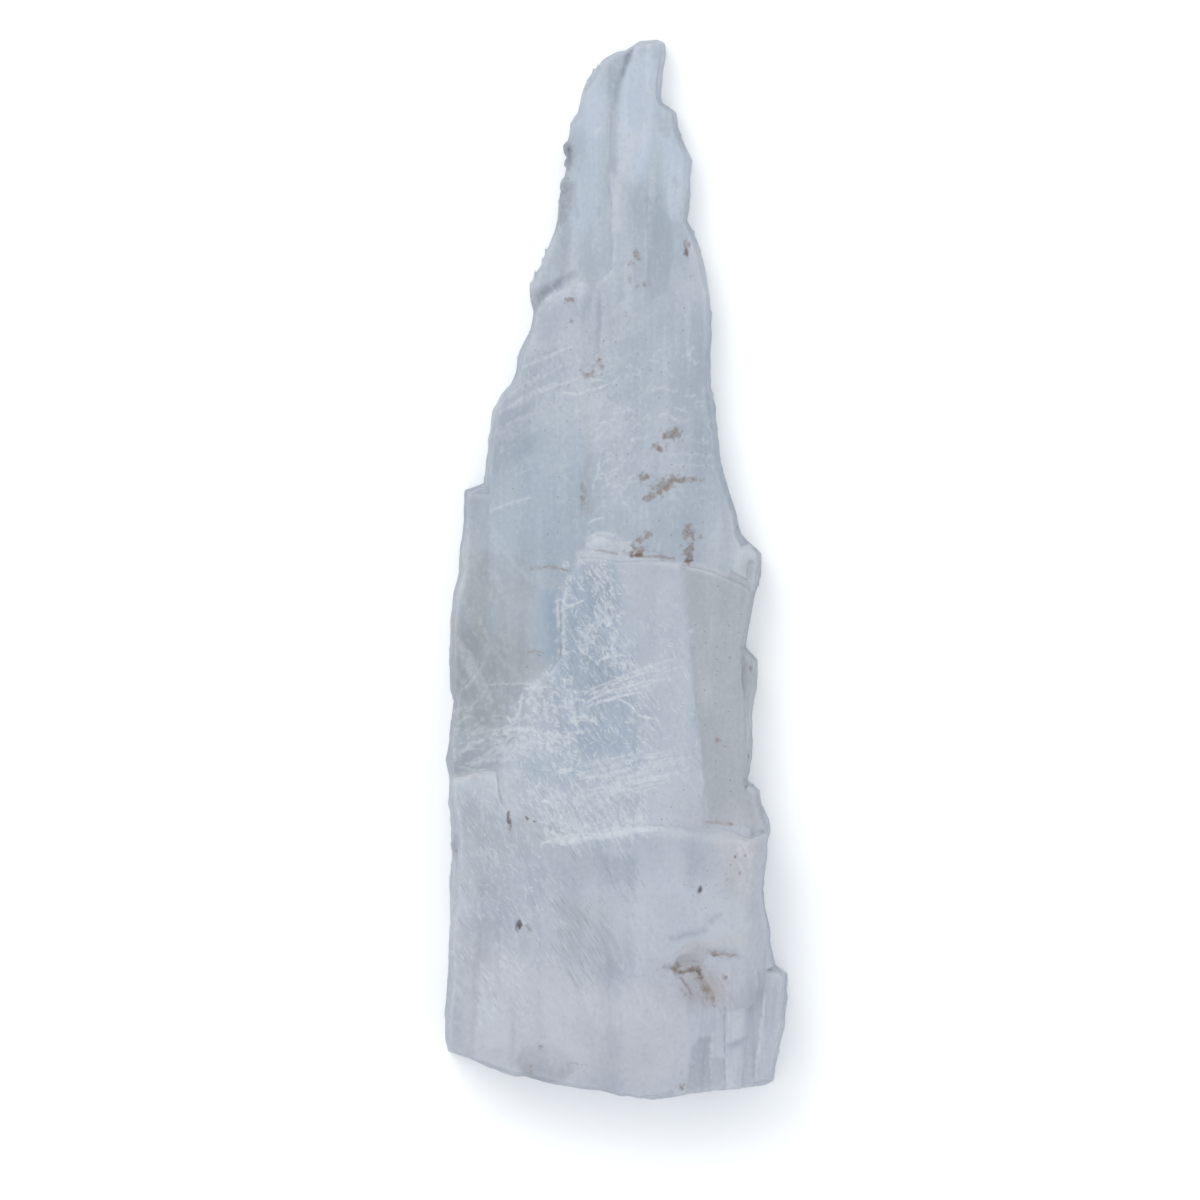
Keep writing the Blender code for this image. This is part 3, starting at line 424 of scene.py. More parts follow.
STAINS = (
    # the upper plate
    Spot((16.2, 38.4), (2.5, 1.5), -8), Spot((13.4, 37.2), (1.2, 2.0), 10, 0.8),
    Spot((11.5, 34.2), (1.9, 1.1), -28, 0.9), Spot((8.0, 25.8), (1.7, 1.5), 0, 0.85),
    Spot((13.2, 23.6), (3.4, 1.8), 35), Spot((9.0, 20.2), (1.8, 0.9), 25),
    Spot((17.6, 25.2), (2.6, 0.9), -4), Spot((22.6, 25.2), (2.0, 0.6), 0, 0.9),
    Spot((5.8, 5.2), (2.4, 1.3), 10), Spot((8.4, 9.4), (1.9, 1.1), 60, 0.85),
    Spot((5.8, 8.2), (1.3, 0.9), 30, 0.8), Spot((20.2, 10.2), (1.4, 2.1), 0, 0.95),
    Spot((20.4, 4.6), (1.2, 2.9), -12), Spot((17.8, 6.6), (1.2, 0.5), 0, 0.8),
    Spot((23.6, 9.0), (0.9, 0.7), 0, 0.8), Spot((-9.3, 20.5), (0.9, 4.6), 3, 0.62),
    Spot((-8.4, 55.0), (2.4, 1.7), 20, 0.66), Spot((-4.8, 57.5), (1.4, 2.8), -12, 0.64),
    Spot((8.0, 57.0), (1.8, 1.2), 0, 0.45), Spot((-13.0, 76.0), (1.8, 0.7), 8, 0.75),
    Spot((-14.4, 75.2), (0.7, 0.7), 0, 0.7), Spot((-12.6, 70.0), (0.5, 0.8), 0, 0.7),
    # the tip
    Spot((6.1, 88.7), (1.3, 2.2), -20, 0.7), Spot((3.7, 86.5), (1.5, 1.0), 10, 0.62),
    Spot((3.6, 82.0), (1.1, 1.1), 0, 0.6), Spot((6.1, 79.6), (0.9, 0.9), 0, 0.7),
    Spot((8.1, 80.8), (0.9, 1.4), 15, 0.72), Spot((22.2, 83.0), (1.6, 1.2), 20, 0.6),
    Spot((19.4, 91.0), (1.3, 2.6), 0, 0.6),
    # the broken end
    Spot((-11.0, -138.6), (4.4, 0.5), 0, 0.42), Spot((-10.5, -141.2), (4.4, 0.5), 0, 0.42),
    Spot((18.0, -144.0), (0.9, 3.0), -5, 0.66), Spot((-21.6, -134.0), (0.8, 0.9), 0, 0.75),
    # specks beside the shoulder
    Spot((31.0, -82.3), (0.6, 0.5), 0, 0.8), Spot((33.2, -80.6), (0.5, 0.6), 0, 0.8),
    Spot((34.4, -85.2), (0.6, 0.4), 20, 0.8), Spot((36.1, -80.6), (0.5, 0.5), 0, 0.75),
    Spot((31.0, -87.4), (0.6, 0.8), 0, 0.8), Spot((28.1, -71.0), (0.8, 0.4), 0, 0.8),
    Spot((32.1, -71.5), (0.9, 0.4), -10, 0.8), Spot((28.6, -48.1), (0.9, 0.7), 20, 0.8),
    Spot((30.2, -49.9), (0.5, 0.5), 0, 0.75), Spot((37.4, -53.0), (0.6, 1.1), 0, 0.8),
    Spot((38.2, -28.5), (0.7, 1.3), 10, 0.75), Spot((-24.6, -100.8), (2.2, 1.2), -20, 0.56),
    # the muddy hollow
    Spot((25.2, -118.6), (3.8, 1.2), -53, 0.86), Spot((19.6, -117.2), (2.6, 0.7), -58, 0.62),
    Spot((31.0, -114.8), (2.6, 0.9), -60, 0.54), Spot((17.0, -112.4), (2.3, 1.2), -18, 0.8),
    Spot((27.8, -108.0), (2.4, 0.8), -8, 0.78), Spot((31.6, -108.4), (2.6, 0.5), -4, 0.66),
    Spot((20.4, -110.4), (3.4, 1.5), 20, 0.5), Spot((19.4, -118.2), (2.8, 1.5), -52, 0.48),
    Spot((17.4, -111.6), (1.2, 1.6), 30, 0.66),
)

MUDS = (
    Spot((-30.2, -69.8), (0.8, 1.7), 4, 0.84), Spot((-30.0, -72.0), (0.45, 1.5), 0, 0.84),
    Spot((-27.4, -100.0), (0.6, 1.7), -8), Spot((23.3, -90.0), (0.5, 1.1), -15),
    Spot((19.7, 89.4), (0.8, 1.0), 20), Spot((-13.6, 118.6), (1.2, 1.6), 0, 0.65),
    Spot((17.4, -112.9), (1.6, 0.6), -24, 0.6), Spot((22.0, -112.3), (2.2, 0.9), 12, 0.9),
    Spot((23.4, -113.6), (0.7, 1.5), 28, 0.8), Spot((5.6, 4.0), (2.6, 0.7), 0, 0.8),
    Spot((20.8, 2.3), (1.6, 0.6), -12, 0.85), Spot((-25.2, -70.0), (0.9, 0.45), -35, 0.9),
    Spot((-22.6, -24.0), (1.8, 0.4), -4, 0.62), Spot((-25.6, -27.6), (0.5, 1.2), -30, 0.58),
    Spot((-23.2, -70.9), (0.7, 0.5), 0, 0.7),
)

BRIGHT_LINES = (
    Line((-9, -37.6), (11, -31), 0.6, 0.8), Line((-8, -38.4), (7, -34.5), 0.6, 0.4),
    Line((-8, -35.8), (10, -28.5), 0.5, 0.6), Line((-9, -34.8), (4, -30), 0.4, 0.6, 0.8),
    Line((-2, -31.8), (12, -27), 0.4, 0.6, 0.7), Line((0.5, -36.5), (6, -40.5), 0.5, 0.5),
    Line((6, -40.5), (10.5, -42.2), 0.5, -0.3), Line((-10.5, -41.5), (-5.5, -43.8), 0.8, 0.8),
    Line((-17.5, -58), (-11.5, -56.4), 0.45, 0.4), Line((-11.5, -56.4), (-7, -59.4), 0.5, 0.5),
    Line((-36, 16.3), (-24, 20.4), 0.6, 0.2, 0.6), Line((-33.4, 44), (-17, 52.8), 0.8, 0.3, 0.6),
    Line((-27.5, 56.4), (-11.5, 63.2), 0.6, 0.2, 0.6),
    Line((-24.3, 52.7), (-10.6, 59.2), 0.7, 0.2, 0.55),
    Line((-26.1, 48.2), (-10.6, 53.7), 0.6, 0.3, 0.6),
    Line((-34, 39.5), (-12, 47.5), 0.5, 0.6, 0.4), Line((-31, 48.6), (-20, 56), 0.5, 0.1, 0.5),
    Line((-30.4, 45.4), (-22, 49.8), 1.2, 0.1, 0.4),
    Line((-38.5, -32.6), (-21, -32.4), 0.45, 0.3, 0.6),
    Line((-44.5, -19.5), (-35, -37), 2.4, -0.8, 0.4), Line((-16.5, -12.4), (-8.5, -8.4), 0.5, 0.4),
    Line((-15, 50.0), (-8.8, 49.8), 0.5, -0.5, 0.9),
    Line((-8.8, 50.4), (-1.5, 52.6), 0.5, -0.5, 1.0), Line((-7.4, 53.2), (-2, 52.8), 0.4, 0.3, 0.8),
    Line((-8.4, 12.6), (-3.2, 14.6), 0.5, 0.5, 0.9), Line((-6, 10.2), (0.5, 9.4), 0.5, 0.6, 0.7),
    Line((-8.6, 4.8), (-7.4, 9.2), 0.45, 0.4, 0.8), Line((-7.4, 9.2), (-2.6, 10.4), 0.45, 0.4, 0.8),
    Line((-7.0, 7.4), (-3.8, 9.2), 0.4, 0.4, 0.7), Line((-4.4, 33.6), (-7.0, 21), 0.4, 0.2, 0.6),
    Line((-28.4, -42.6), (-26.4, -33.8), 0.5, -0.3, 0.9),
    Line((-31.6, -45.2), (-22.4, -45.6), 1.1, 0.4, 0.9),
    Line((-20, -46.4), (-13.4, -47.6), 0.8, 0.3, 0.8),
    Line((-19.4, -48.6), (-18.6, -51.4), 1.2, 0.1), Line((-21, -64.8), (-18.4, -65.9), 0.8, 0.2),
    Line((-25.4, -62.2), (-22.6, -62.9), 1.0, 0.1, 0.8),
    Line((13, 32.6), (29, 31.9), 0.4, 0.1, 0.4), Line((15, 29.4), (30, 28.8), 0.4, 0.1, 0.35),
    Line((17, 36.2), (28, 35.4), 0.35, 0.1, 0.3), Line((21, 47.4), (27, 47.2), 0.5, 0.1, 0.3),
    Line((38.9, -146.4), (42, -118.8), 0.5, 0.3, 0.8),
    Line((26.6, -146), (26.9, -130), 0.4, 0.1, 0.6),
    Line((-21.8, -77.4), (-8, -74.2), 0.7, 0.6, 0.9), Line((-8, -74.2), (6, -72.6), 0.5, 0.3, 0.6),
    Line((20.9, -17), (21.3, -17.6), 0.9, 0.0), Line((34.8, -77.5), (37.8, -87.5), 0.6, 1.4, 0.6),
    Line((-5.5, -26), (2.5, -24.2), 0.6, 0.6), Line((-16.5, -18), (-16.2, -8), 0.6, 0.2),
    Line((-26.4, -33.6), (-18, -33.2), 0.5, 0.3), Line((7.6, 26.2), (3, 24.6), 0.45, 0.5, 0.6),
    Line((3.4, 24), (-0.6, 21.6), 0.4, 0.5, 0.5), Line((-6.4, 122.2), (-3.6, 125.4), 0.6, 0.2, 0.5),
    Line((8.4, 147.2), (9.4, 147.9), 1.0, 0.0), Line((-17.5, -57.2), (-12.2, -56), 0.6, 0.4),
)

DARK_LINES = (
    Line((4.5, 147.5), (2.7, 142.4), 1.2, 0.0), Line((2.7, 142.4), (0, 136.5), 0.9, 0.2, 0.8),
    Line((0, 136.5), (-1.6, 129), 0.6, 0.2, 0.6), Line((-1.6, 129), (-1.9, 119.5), 0.6, 0.1, 0.5),
    Line((-1.9, 119.5), (-3, 110), 0.7, 0.3, 0.5), Line((-3, 110), (-1.3, 102.3), 0.5, 0.2, 0.4),
    Line((-4.9, 78), (-5.3, 62), 0.8, 0.3, 0.7), Line((8.4, 106), (8.9, 78), 0.5, 0.2, 0.4),
    Line((-11.4, 102.8), (-10.9, 99.2), 1.0, 0.1, 0.5),
    Line((-5.4, 102.2), (-4.6, 99.4), 0.8, 0.1, 0.5),
    Line((11.6, 143.2), (12.1, 140.2), 1.2, 0.1, 0.5),
    Line((16.5, 110.8), (17, 107.6), 1.2, 0.1, 0.6),
    Line((30.2, -147), (30.4, -122), 0.45, 0.1, 0.8),
    Line((30.8, -133.4), (35.7, -132), 0.5, -0.4, 0.5), Line((5.6, -56), (5.5, -71), 0.4, 0.1, 0.5),
    Line((20.6, -143), (21.6, -133), 0.4, 0.1, 0.3), Line((35, -147), (36.6, -131), 0.4, 0.1, 0.5),
)

BROWN_LINES = (
    Line((-24.5, -0.2), (-17.5, 0.6), 0.35, 0.4, 0.9),
    Line((-17.5, 0.6), (-13.2, -0.8), 0.35, 0.3, 0.9),
    Line((-25.2, -23.4), (-20.2, -23.8), 0.4, 0.4, 0.7), Line((-6, 5.2), (0, 4.2), 0.5, 0.3, 0.8),
    Line((3, 3.9), (17, 2.9), 0.45, 0.2), Line((25, -71.2), (33, -72), 0.45, 0.3, 0.6),
    Line((15.0, -111.4), (18.2, -113.4), 0.8, -0.3, 0.7),
    Line((18.2, -113.4), (23.2, -111.6), 0.8, 0.4, 0.8),
    Line((18.0, -114.8), (21.2, -119.6), 0.5, 0.2, 0.8),
    Line((22.8, -112.8), (27.4, -121.4), 0.7, 0.4, 0.8),
    Line((25.2, -106.4), (27.6, -108.2), 0.6, -0.2, 0.6),
    Line((27.6, -108.2), (33.6, -108.4), 0.4, 0.2, 0.5),
    Line((21.5, -113), (26, -120), 0.4, 0.4, 0.4),
    Line((-24.2, -139.5), (-25.2, -144.6), 0.6, 0.6, 0.8),
)

STROKE_FIELDS = (
    Strokes("feathers", Mark.BRIGHT, ((-13, 3), (2, 2), (1, -14), (9, -32), (12, -48), (8, -62),
            (-14, -68), (-29, -62), (-30, -50), (-22, -36), (-16, -24), (-16, -8)), 240, -52, 34,
            (0.8, 4.0), (0.25, 0.5), (-0.5, 1.0), 0.07, 0.7, 0.9),
    Strokes("north tuft", Mark.BRIGHT, ((-8.8, 2), (-2, 2), (-1, -13), (-6, -14)), 60, -72, 30,
            (0.8, 3.2), (0.25, 0.5), (-0.4, 0.8), 0.10, 0.9, 0.5),
    Strokes("upper tuft", Mark.BRIGHT, ((-11.5, -16), (-2, -12), (5, -13), (4.5, -28), (-3, -28),
            (-12, -27)), 84, -48, 50, (0.7, 3.2), (0.3, 0.6), (-0.6, 1.0), 0.14, 0.9, 0.9),
    Strokes("left tuft", Mark.BRIGHT, ((-22, -34), (-16, -27), (-12.5, -30), (-13, -37), (-7, -41),
            (-6, -44), (-21, -43)), 60, -35, 60, (0.7, 3.0), (0.3, 0.7), (-0.6, 1.0), 0.14, 0.9,
            0.8),
    Strokes("low tuft", Mark.BRIGHT, ((-30, -45), (-9, -45), (-15, -49), (-8, -53), (-29, -51)), 60,
            -30, 60, (0.7, 3.0), (0.3, 0.7), (-0.6, 1.0), 0.14, 1.0, 0.6),
    Strokes("ragged edge", Mark.BRIGHT, ((-15.5, 3), (-13, 3), (-15, -24), (-20, -30), (-24, -42),
            (-34, -48), (-36, -47), (-26, -34), (-18, -26), (-17.5, -8)), 110, -60, 60, (0.6, 2.4),
            (0.3, 0.7), (-0.4, 0.8), 0.12, 1.0, 0.6),
    Strokes("feather gaps", Mark.DARK, ((-13, 2), (-2, 1), (0, -14), (9, -32), (11, -46),
            (-10, -50), (-16, -24), (-15, -8)), 150, -60, 24, (1.0, 5.0), (0.3, 0.8), (-0.4, 0.8),
            -0.08, 0.5, 0.7),
    Strokes("combed lines", Mark.BRIGHT, ((-20, -60), (5, -58), (9, -70), (2, -74), (-18, -76),
            (-27, -68)), 150, -56, 12, (2.0, 8.0), (0.25, 0.5), (-0.2, 1.0), 0.07, 0.8, 0.4),
    Strokes("fine grain", Mark.BRIGHT, ((4, -14), (18, -14), (22, -60), (12, -66), (8, -40)), 60,
            -50, 30, (1.0, 5.0), (0.25, 0.5), (-0.4, 0.8), 0.04, 0.35, 0.6),
    Strokes("cross lines", Mark.BRIGHT, ((-14, -54), (9, -52), (9, -65), (-12, -66)), 36, 11, 2,
            (6.0, 18.0), (0.3, 0.45), (-0.2, 0.4), 0.05, 0.85, 0.0),
    Strokes("slanted lines", Mark.BRIGHT, ((-6, -34), (10, -27), (12, -31), (-4, -38)), 14, 17, 4,
            (4.0, 10.0), (0.3, 0.5), (-0.2, 0.6), 0.06, 0.8, 0.0),
    Strokes("dark ripples", Mark.DARK, ((-48, -61), (-31, -66), (-22, -80), (-22, -104),
            (-30, -120), (-48, -126)), 150, -74, 22, (1.5, 7.0), (0.4, 1.2), (-0.3, 0.4), -0.10,
            0.3, 0.9),
    Strokes("bright ripples", Mark.BRIGHT, ((-48, -60), (-31, -66), (-20, -80), (-22, -104),
            (-30, -120), (-48, -126)), 150, -70, 24, (1.0, 6.0), (0.3, 0.7), (-0.3, 0.5), 0.08,
            0.45, 0.9),
    Strokes("dark cuts", Mark.DARK, ((-17, -94), (-5, -94), (-1, -104), (-5, -113), (-15, -112)),
            120, -57, 10, (2.0, 9.0), (0.3, 0.42), (-0.1, 0.3), -0.08, 0.6, 0.7),
    Strokes("crescent cuts", Mark.DARK, ((-4, -80), (6, -80), (6, -90), (-4, -92)), 40, -62, 12,
            (1.5, 5.0), (0.3, 0.5), (-0.1, 0.2), -0.07, 0.6, 0.4),
    Strokes("lower grain", Mark.BRIGHT, ((-30, -90), (10, -94), (16, -124), (-28, -128)), 80, -66,
            30, (2.0, 9.0), (0.4, 0.9), (-0.6, 1.0), 0.05, 0.25, 0.8),
    Strokes("veils", Mark.BRIGHT, ((-37, 40), (-26, 60), (-14, 66), (-8, 44), (-16, 26), (-37, 20)),
            40, 29, 4, (10.0, 30.0), (0.9, 3.2), (-0.4, 1.0), 0.05, 0.24, 0.4),
    Strokes("veil lines", Mark.BRIGHT, ((-32, 40), (-26, 60), (-16, 66), (-10, 52), (-16, 40)), 40,
            31, 4, (6.0, 18.0), (0.3, 0.55), (-0.3, 0.6), 0.03, 0.4, 0.3),
    Strokes("tip lines", Mark.DARK, ((-12, 134), (12, 140), (20, 112), (24, 60), (-14, 64),
            (-16, 100)), 26, 89, 5, (5.0, 20.0), (0.6, 1.6), (-0.4, 0.4), -0.06, 0.22, 0.4),
    Strokes("tip ribs", Mark.BRIGHT, ((-12, 134), (12, 140), (20, 112), (22, 60), (-10, 64),
            (-16, 100)), 26, 84, 8, (8.0, 26.0), (0.9, 2.6), (-0.4, 0.4), 0.06, 0.28, 0.4),
    Strokes("panel scrapes", Mark.DARK, ((24, -6), (34, -8), (36, -60), (28, -66)), 20, 84, 10,
            (3.0, 12.0), (0.3, 0.5), (-0.2, 0.2), -0.04, 0.3, 0.2),
    Strokes("mud streaks", Mark.BROWN, ((17, -113), (24, -111), (32, -118), (26, -122), (20, -120)),
            40, -56, 12, (1.5, 7.0), (0.3, 0.6), (-0.3, 0.6), -0.08, 0.34, 0.5),
    Strokes("band lines", Mark.DARK, ((20, -126), (46, -120), (44, -146), (19, -148)), 22, 88, 2,
            (8.0, 20.0), (0.4, 0.8), (-0.2, 0.2), -0.07, 0.4, 0.1),
    Strokes("shelf lines", Mark.BRIGHT, ((-48, -40), (-34, -38), (-26, -46), (-34, -56),
            (-48, -58)), 60, 14, 24, (2.0, 10.0), (0.3, 0.8), (-0.8, 0.8), 0.06, 0.6, 0.4),
    Strokes("corner wisps", Mark.BRIGHT, ((-46, 16), (-34, 16), (-30, -40), (-46, -40)), 24, -62,
            14, (4.0, 16.0), (0.6, 2.2), (-1.0, 1.0), 0.03, 0.22, 0.3),
    Strokes("crumbs", Mark.BRIGHT, ((33.5, -76.5), (37.6, -77), (38, -90), (34.5, -90)), 30, -60,
            70, (0.3, 1.4), (0.4, 0.8), (-0.3, 0.3), 0.16, 0.6, 0.7),
    Strokes("plate scratches", Mark.BRIGHT, ((-34, 42), (26, 42), (30, 10), (-4, 10), (-34, 4)), 44,
            26, 9, (2.0, 11.0), (0.3, 0.4), (-0.3, 0.5), 0.02, 0.34, 0.4),
    Strokes("upper scratches", Mark.BRIGHT, ((-8, 62), (25, 62), (27, 36), (-8, 36)), 70, 14, 50,
            (0.8, 4.0), (0.3, 0.5), (-0.3, 0.3), 0.03, 0.65, 0.6),
    Strokes("veil crumbs", Mark.BRIGHT, ((-6, 46), (4, 46), (3, 18), (-7, 16)), 70, 30, 60,
            (0.5, 2.6), (0.3, 0.6), (-0.3, 0.5), 0.05, 0.7, 0.6),
    Strokes("brow steps", Mark.BRIGHT, ((-9, 4), (-8, 9.5), (-4, 10.5), (2, 9), (8, 4)), 26, 8, 24,
            (1.0, 4.0), (0.3, 0.5), (-0.4, 0.6), 0.06, 0.7, 0.3),
    Strokes("fan feathers", Mark.BRIGHT, ((-40, -58), (-30, -56), (-14, -66), (-12, -76),
            (-28, -70)), 100, -50, 40, (1.0, 4.0), (0.3, 0.7), (-0.5, 0.8), 0.08, 0.5, 0.6),
)


# ---- node helpers -----------------------------------------------------------------------


class Wiring:
    """Adds nodes to one tree and joins them.

    Args:
        tree: the shader or geometry node tree to build in.
    """

    def __init__(self, tree: bpy.types.NodeTree) -> None:
        """Keep the tree."""
        self.tree = tree

    def add(self, kind: str, inputs: dict | None = None, **settings) -> bpy.types.Node:
        """Add a node.

        Args:
            kind: the node's type name.
            inputs: what feeds its inputs, by name or number: a socket or a plain value.
            settings: properties that are set on the node first.

        Returns:
            The new node.
        """
        node = self.tree.nodes.new(kind)
        for key, value in settings.items():
            setattr(node, key, value)
        for key, value in (inputs or {}).items():
            self.feed(node.inputs[key], value)
        return node

    def feed(self, socket: Socket, value: Feed) -> None:
        """Link a socket to an input, or set the input's plain value.

        Args:
            socket: the input.
            value: another socket, or the plain value.
        """
        if isinstance(value, Socket):
            self.tree.links.new(value, socket)
        else:
            socket.default_value = value

    def maths(self, operation: str, first: Feed, second: Feed = 0.0,
              third: Feed = 0.0) -> Socket:
        """The result of a Math node."""
        inputs = {0: first, 1: second, 2: third}
        return self.add("ShaderNodeMath", inputs, operation=operation).outputs[0]

    def total(self, *values: Feed) -> Socket:
        """The sum of several sockets or numbers.

        Args:
            values: the sockets or numbers.

        Returns:
            The sum.
        """
        result = values[0]
        for value in values[1:]:
            result = self.maths("ADD", result, value)
        return result

    def product(self, *values: Feed) -> Socket:
        """The product of several sockets or numbers.

        Args:
            values: the sockets or numbers.

        Returns:
            The product.
        """
        result = values[0]
        for value in values[1:]:
            result = self.maths("MULTIPLY", result, value)
        return result

    def vector(self, operation: str, first: Feed, second: Feed) -> Socket:
        """The result of a Vector Math node.

        Args:
            operation: the node's operation.
            first: its first input.
            second: its second input, or its scale.

        Returns:
            The vector, or the number where the operation gives one.
        """
        node = self.add("ShaderNodeVectorMath", {0: first}, operation=operation)
        self.feed(node.inputs["Scale" if operation == "SCALE" else 1], second)
        scalar = operation in ("DOT_PRODUCT", "LENGTH", "DISTANCE")
        return node.outputs["Value" if scalar else "Vector"]

    def step(self, value: Feed, start: Feed, end: Feed, low: float = 0.0,
             high: float = 1.0) -> Socket:
        """A smooth step from low at start to high at end.

        Args:
            value: what is stepped.
            start: where the step starts.
            end: where it ends.
            low: the result up to the start.
            high: the result from the end on.

        Returns:
            The eased value.
        """
        inputs = {"Value": value, "From Min": start, "From Max": end, "To Min": low,
                  "To Max": high}
        kind = "ShaderNodeMapRange"
        return self.add(kind, inputs, interpolation_type="SMOOTHSTEP").outputs["Result"]

    def noise(self, place: Socket, sizes: Sequence[float], detail: float) -> Socket:
        """A noise value from 0 to 1, with blobs of one size along each axis, in mm.

        Args:
            place: where the noise is read, in mm.
            sizes: the blobs' size along each axis.
            detail: how many finer layers are added.

        Returns:
            The noise value.
        """
        scaled = self.vector("MULTIPLY", place, tuple(1.0 / size for size in sizes))
        inputs = {"Vector": scaled, "Scale": 1.0, "Detail": detail}
        return self.add("ShaderNodeTexNoise", inputs).outputs[0]

    def mix(self, factor: Feed, first: Feed, second: Feed) -> Socket:
        """Two colours mixed by a factor."""
        inputs = {0: factor, 6: first, 7: second}
        return self.add("ShaderNodeMix", inputs, data_type="RGBA").outputs[2]

    def channels(self, colour: Socket) -> Sockets:
        """The three channels of a colour."""
        return self.add("ShaderNodeSeparateColor", {0: colour}).outputs

    def axes(self, vector: Socket) -> Sockets:
        """The X, Y and Z of a vector."""
        return self.add("ShaderNodeSeparateXYZ", {0: vector}).outputs

    def rotated(self, place: Socket, angle: Feed) -> Socket:
        """A place turned about Z, by an angle in radians."""
        inputs = {"Vector": place, "Angle": angle}
        return self.add("ShaderNodeVectorRotate", inputs, rotation_type="Z_AXIS").outputs[0]

    def give_back(self, geometry: Socket, material: Socket) -> None:
        """End a geometry tree: make the instances real, and set the material.

        Args:
            geometry: the instances.
            material: what they are made of.
        """
        real = self.add("GeometryNodeRealizeInstances", {0: geometry}).outputs[0]
        inputs = {"Geometry": real, "Material": material}
        dressed = self.add("GeometryNodeSetMaterial", inputs).outputs[0]
        self.add("NodeGroupOutput", {0: dressed})


def new_group(name: str, kind: str, inputs: dict, outputs: dict) -> bpy.types.NodeTree:
    """A node group with named sockets.

    Args:
        name: the group's name.
        kind: ShaderNodeTree or GeometryNodeTree.
        inputs: each input's name with its plain value, or with a socket type.
        outputs: each output's name with its socket type.

    Returns:
        The new tree, which holds no nodes yet.
    """
    tree = bpy.data.node_groups.new(name, kind)
    for label, value in inputs.items():
        if isinstance(value, str):
            tree.interface.new_socket(label, in_out="INPUT", socket_type=value)
            continue
        sort = {int: "NodeSocketInt", float: "NodeSocketFloat"}.get(type(value))
        socket = tree.interface.new_socket(label, in_out="INPUT",
                                           socket_type=sort or "NodeSocketVector")
        socket.default_value = value
    for label, sort in outputs.items():
        tree.interface.new_socket(label, in_out="OUTPUT", socket_type=sort)
    return tree


def shown(mesh: bpy.types.Mesh, name: str) -> bpy.types.Object:
    """A new object for a mesh, at the origin and linked to the scene.

    Args:
        mesh: the mesh.
        name: the object's name and the mesh's new one.

    Returns:
        The new object.
    """
    mesh.name = name
    thing = bpy.data.objects.new(name, mesh)
    bpy.context.scene.collection.objects.link(thing)
    return thing


def applied(thing: bpy.types.Object) -> bpy.types.Object:
    """Turn an object with live modifiers into a plain mesh object of the same name.

    Args:
        thing: the object, which is removed.

    Returns:
        The new object.
    """
    graph = bpy.context.evaluated_depsgraph_get()
    mesh = bpy.data.meshes.new_from_object(thing.evaluated_get(graph))
    name = thing.name
    bpy.data.objects.remove(thing, do_unlink=True)
    return shown(mesh, name)


def add_tree(thing: bpy.types.Object, tree: bpy.types.NodeTree, values: dict) -> None:
    """Put a Geometry Nodes tree on an object and set its inputs.

    Args:
        thing: the object that gets the modifier.
        tree: the Geometry Nodes tree.
        values: input names with their values.
    """
    modifier = thing.modifiers.new(tree.name, "NODES")
    modifier.node_group = tree
    for item in tree.interface.items_tree:
        if item.in_out == "INPUT" and item.name in values:
            modifier[item.identifier] = values[item.name]


# ---- the shape --------------------------------------------------------------------------


@dataclass(frozen=True)
class Sowing:
    """Where one kind of splinter grows, and its sizes, in mm and degrees."""

    name: str
    low: tuple[float, float, float]
    high: tuple[float, float, float]
    slope: Point                    # the least and most upward share of the normal
    per_square_cm: float
    heading: float
    stray: float
    length: float
    width: float
    height: float
    seed: int


SOWINGS = (
    Sowing("wall splinters", (-60, -160, 1.5), (60, 160, 30), (0.05, 0.8), 7.0, 90, 8, 6.0, 1.0,
           0.6, 3),
    Sowing("feather flakes", (-30, -70, 16), (8, 2, 30), (0.8, 1.0), 5.0, -50, 22, 6.5, 1.5, 0.55,
           11),
    Sowing("comb flakes", (-28, -77, 16), (8, -60, 30), (0.8, 1.0), 5.0, -55, 12, 8.0, 1.0, 0.4,
           23),
    Sowing("ripple flakes", (-48, -126, 16), (-20, -62, 30), (0.8, 1.0), 3.5, -75, 16, 9.0, 2.2,
           0.5, 37),
    Sowing("mud crumbs", (15, -122, 12), (37, -104, 30), (0.1, 1.0), 6.0, -55, 20, 4.5, 1.0, 0.7,
           51),
)


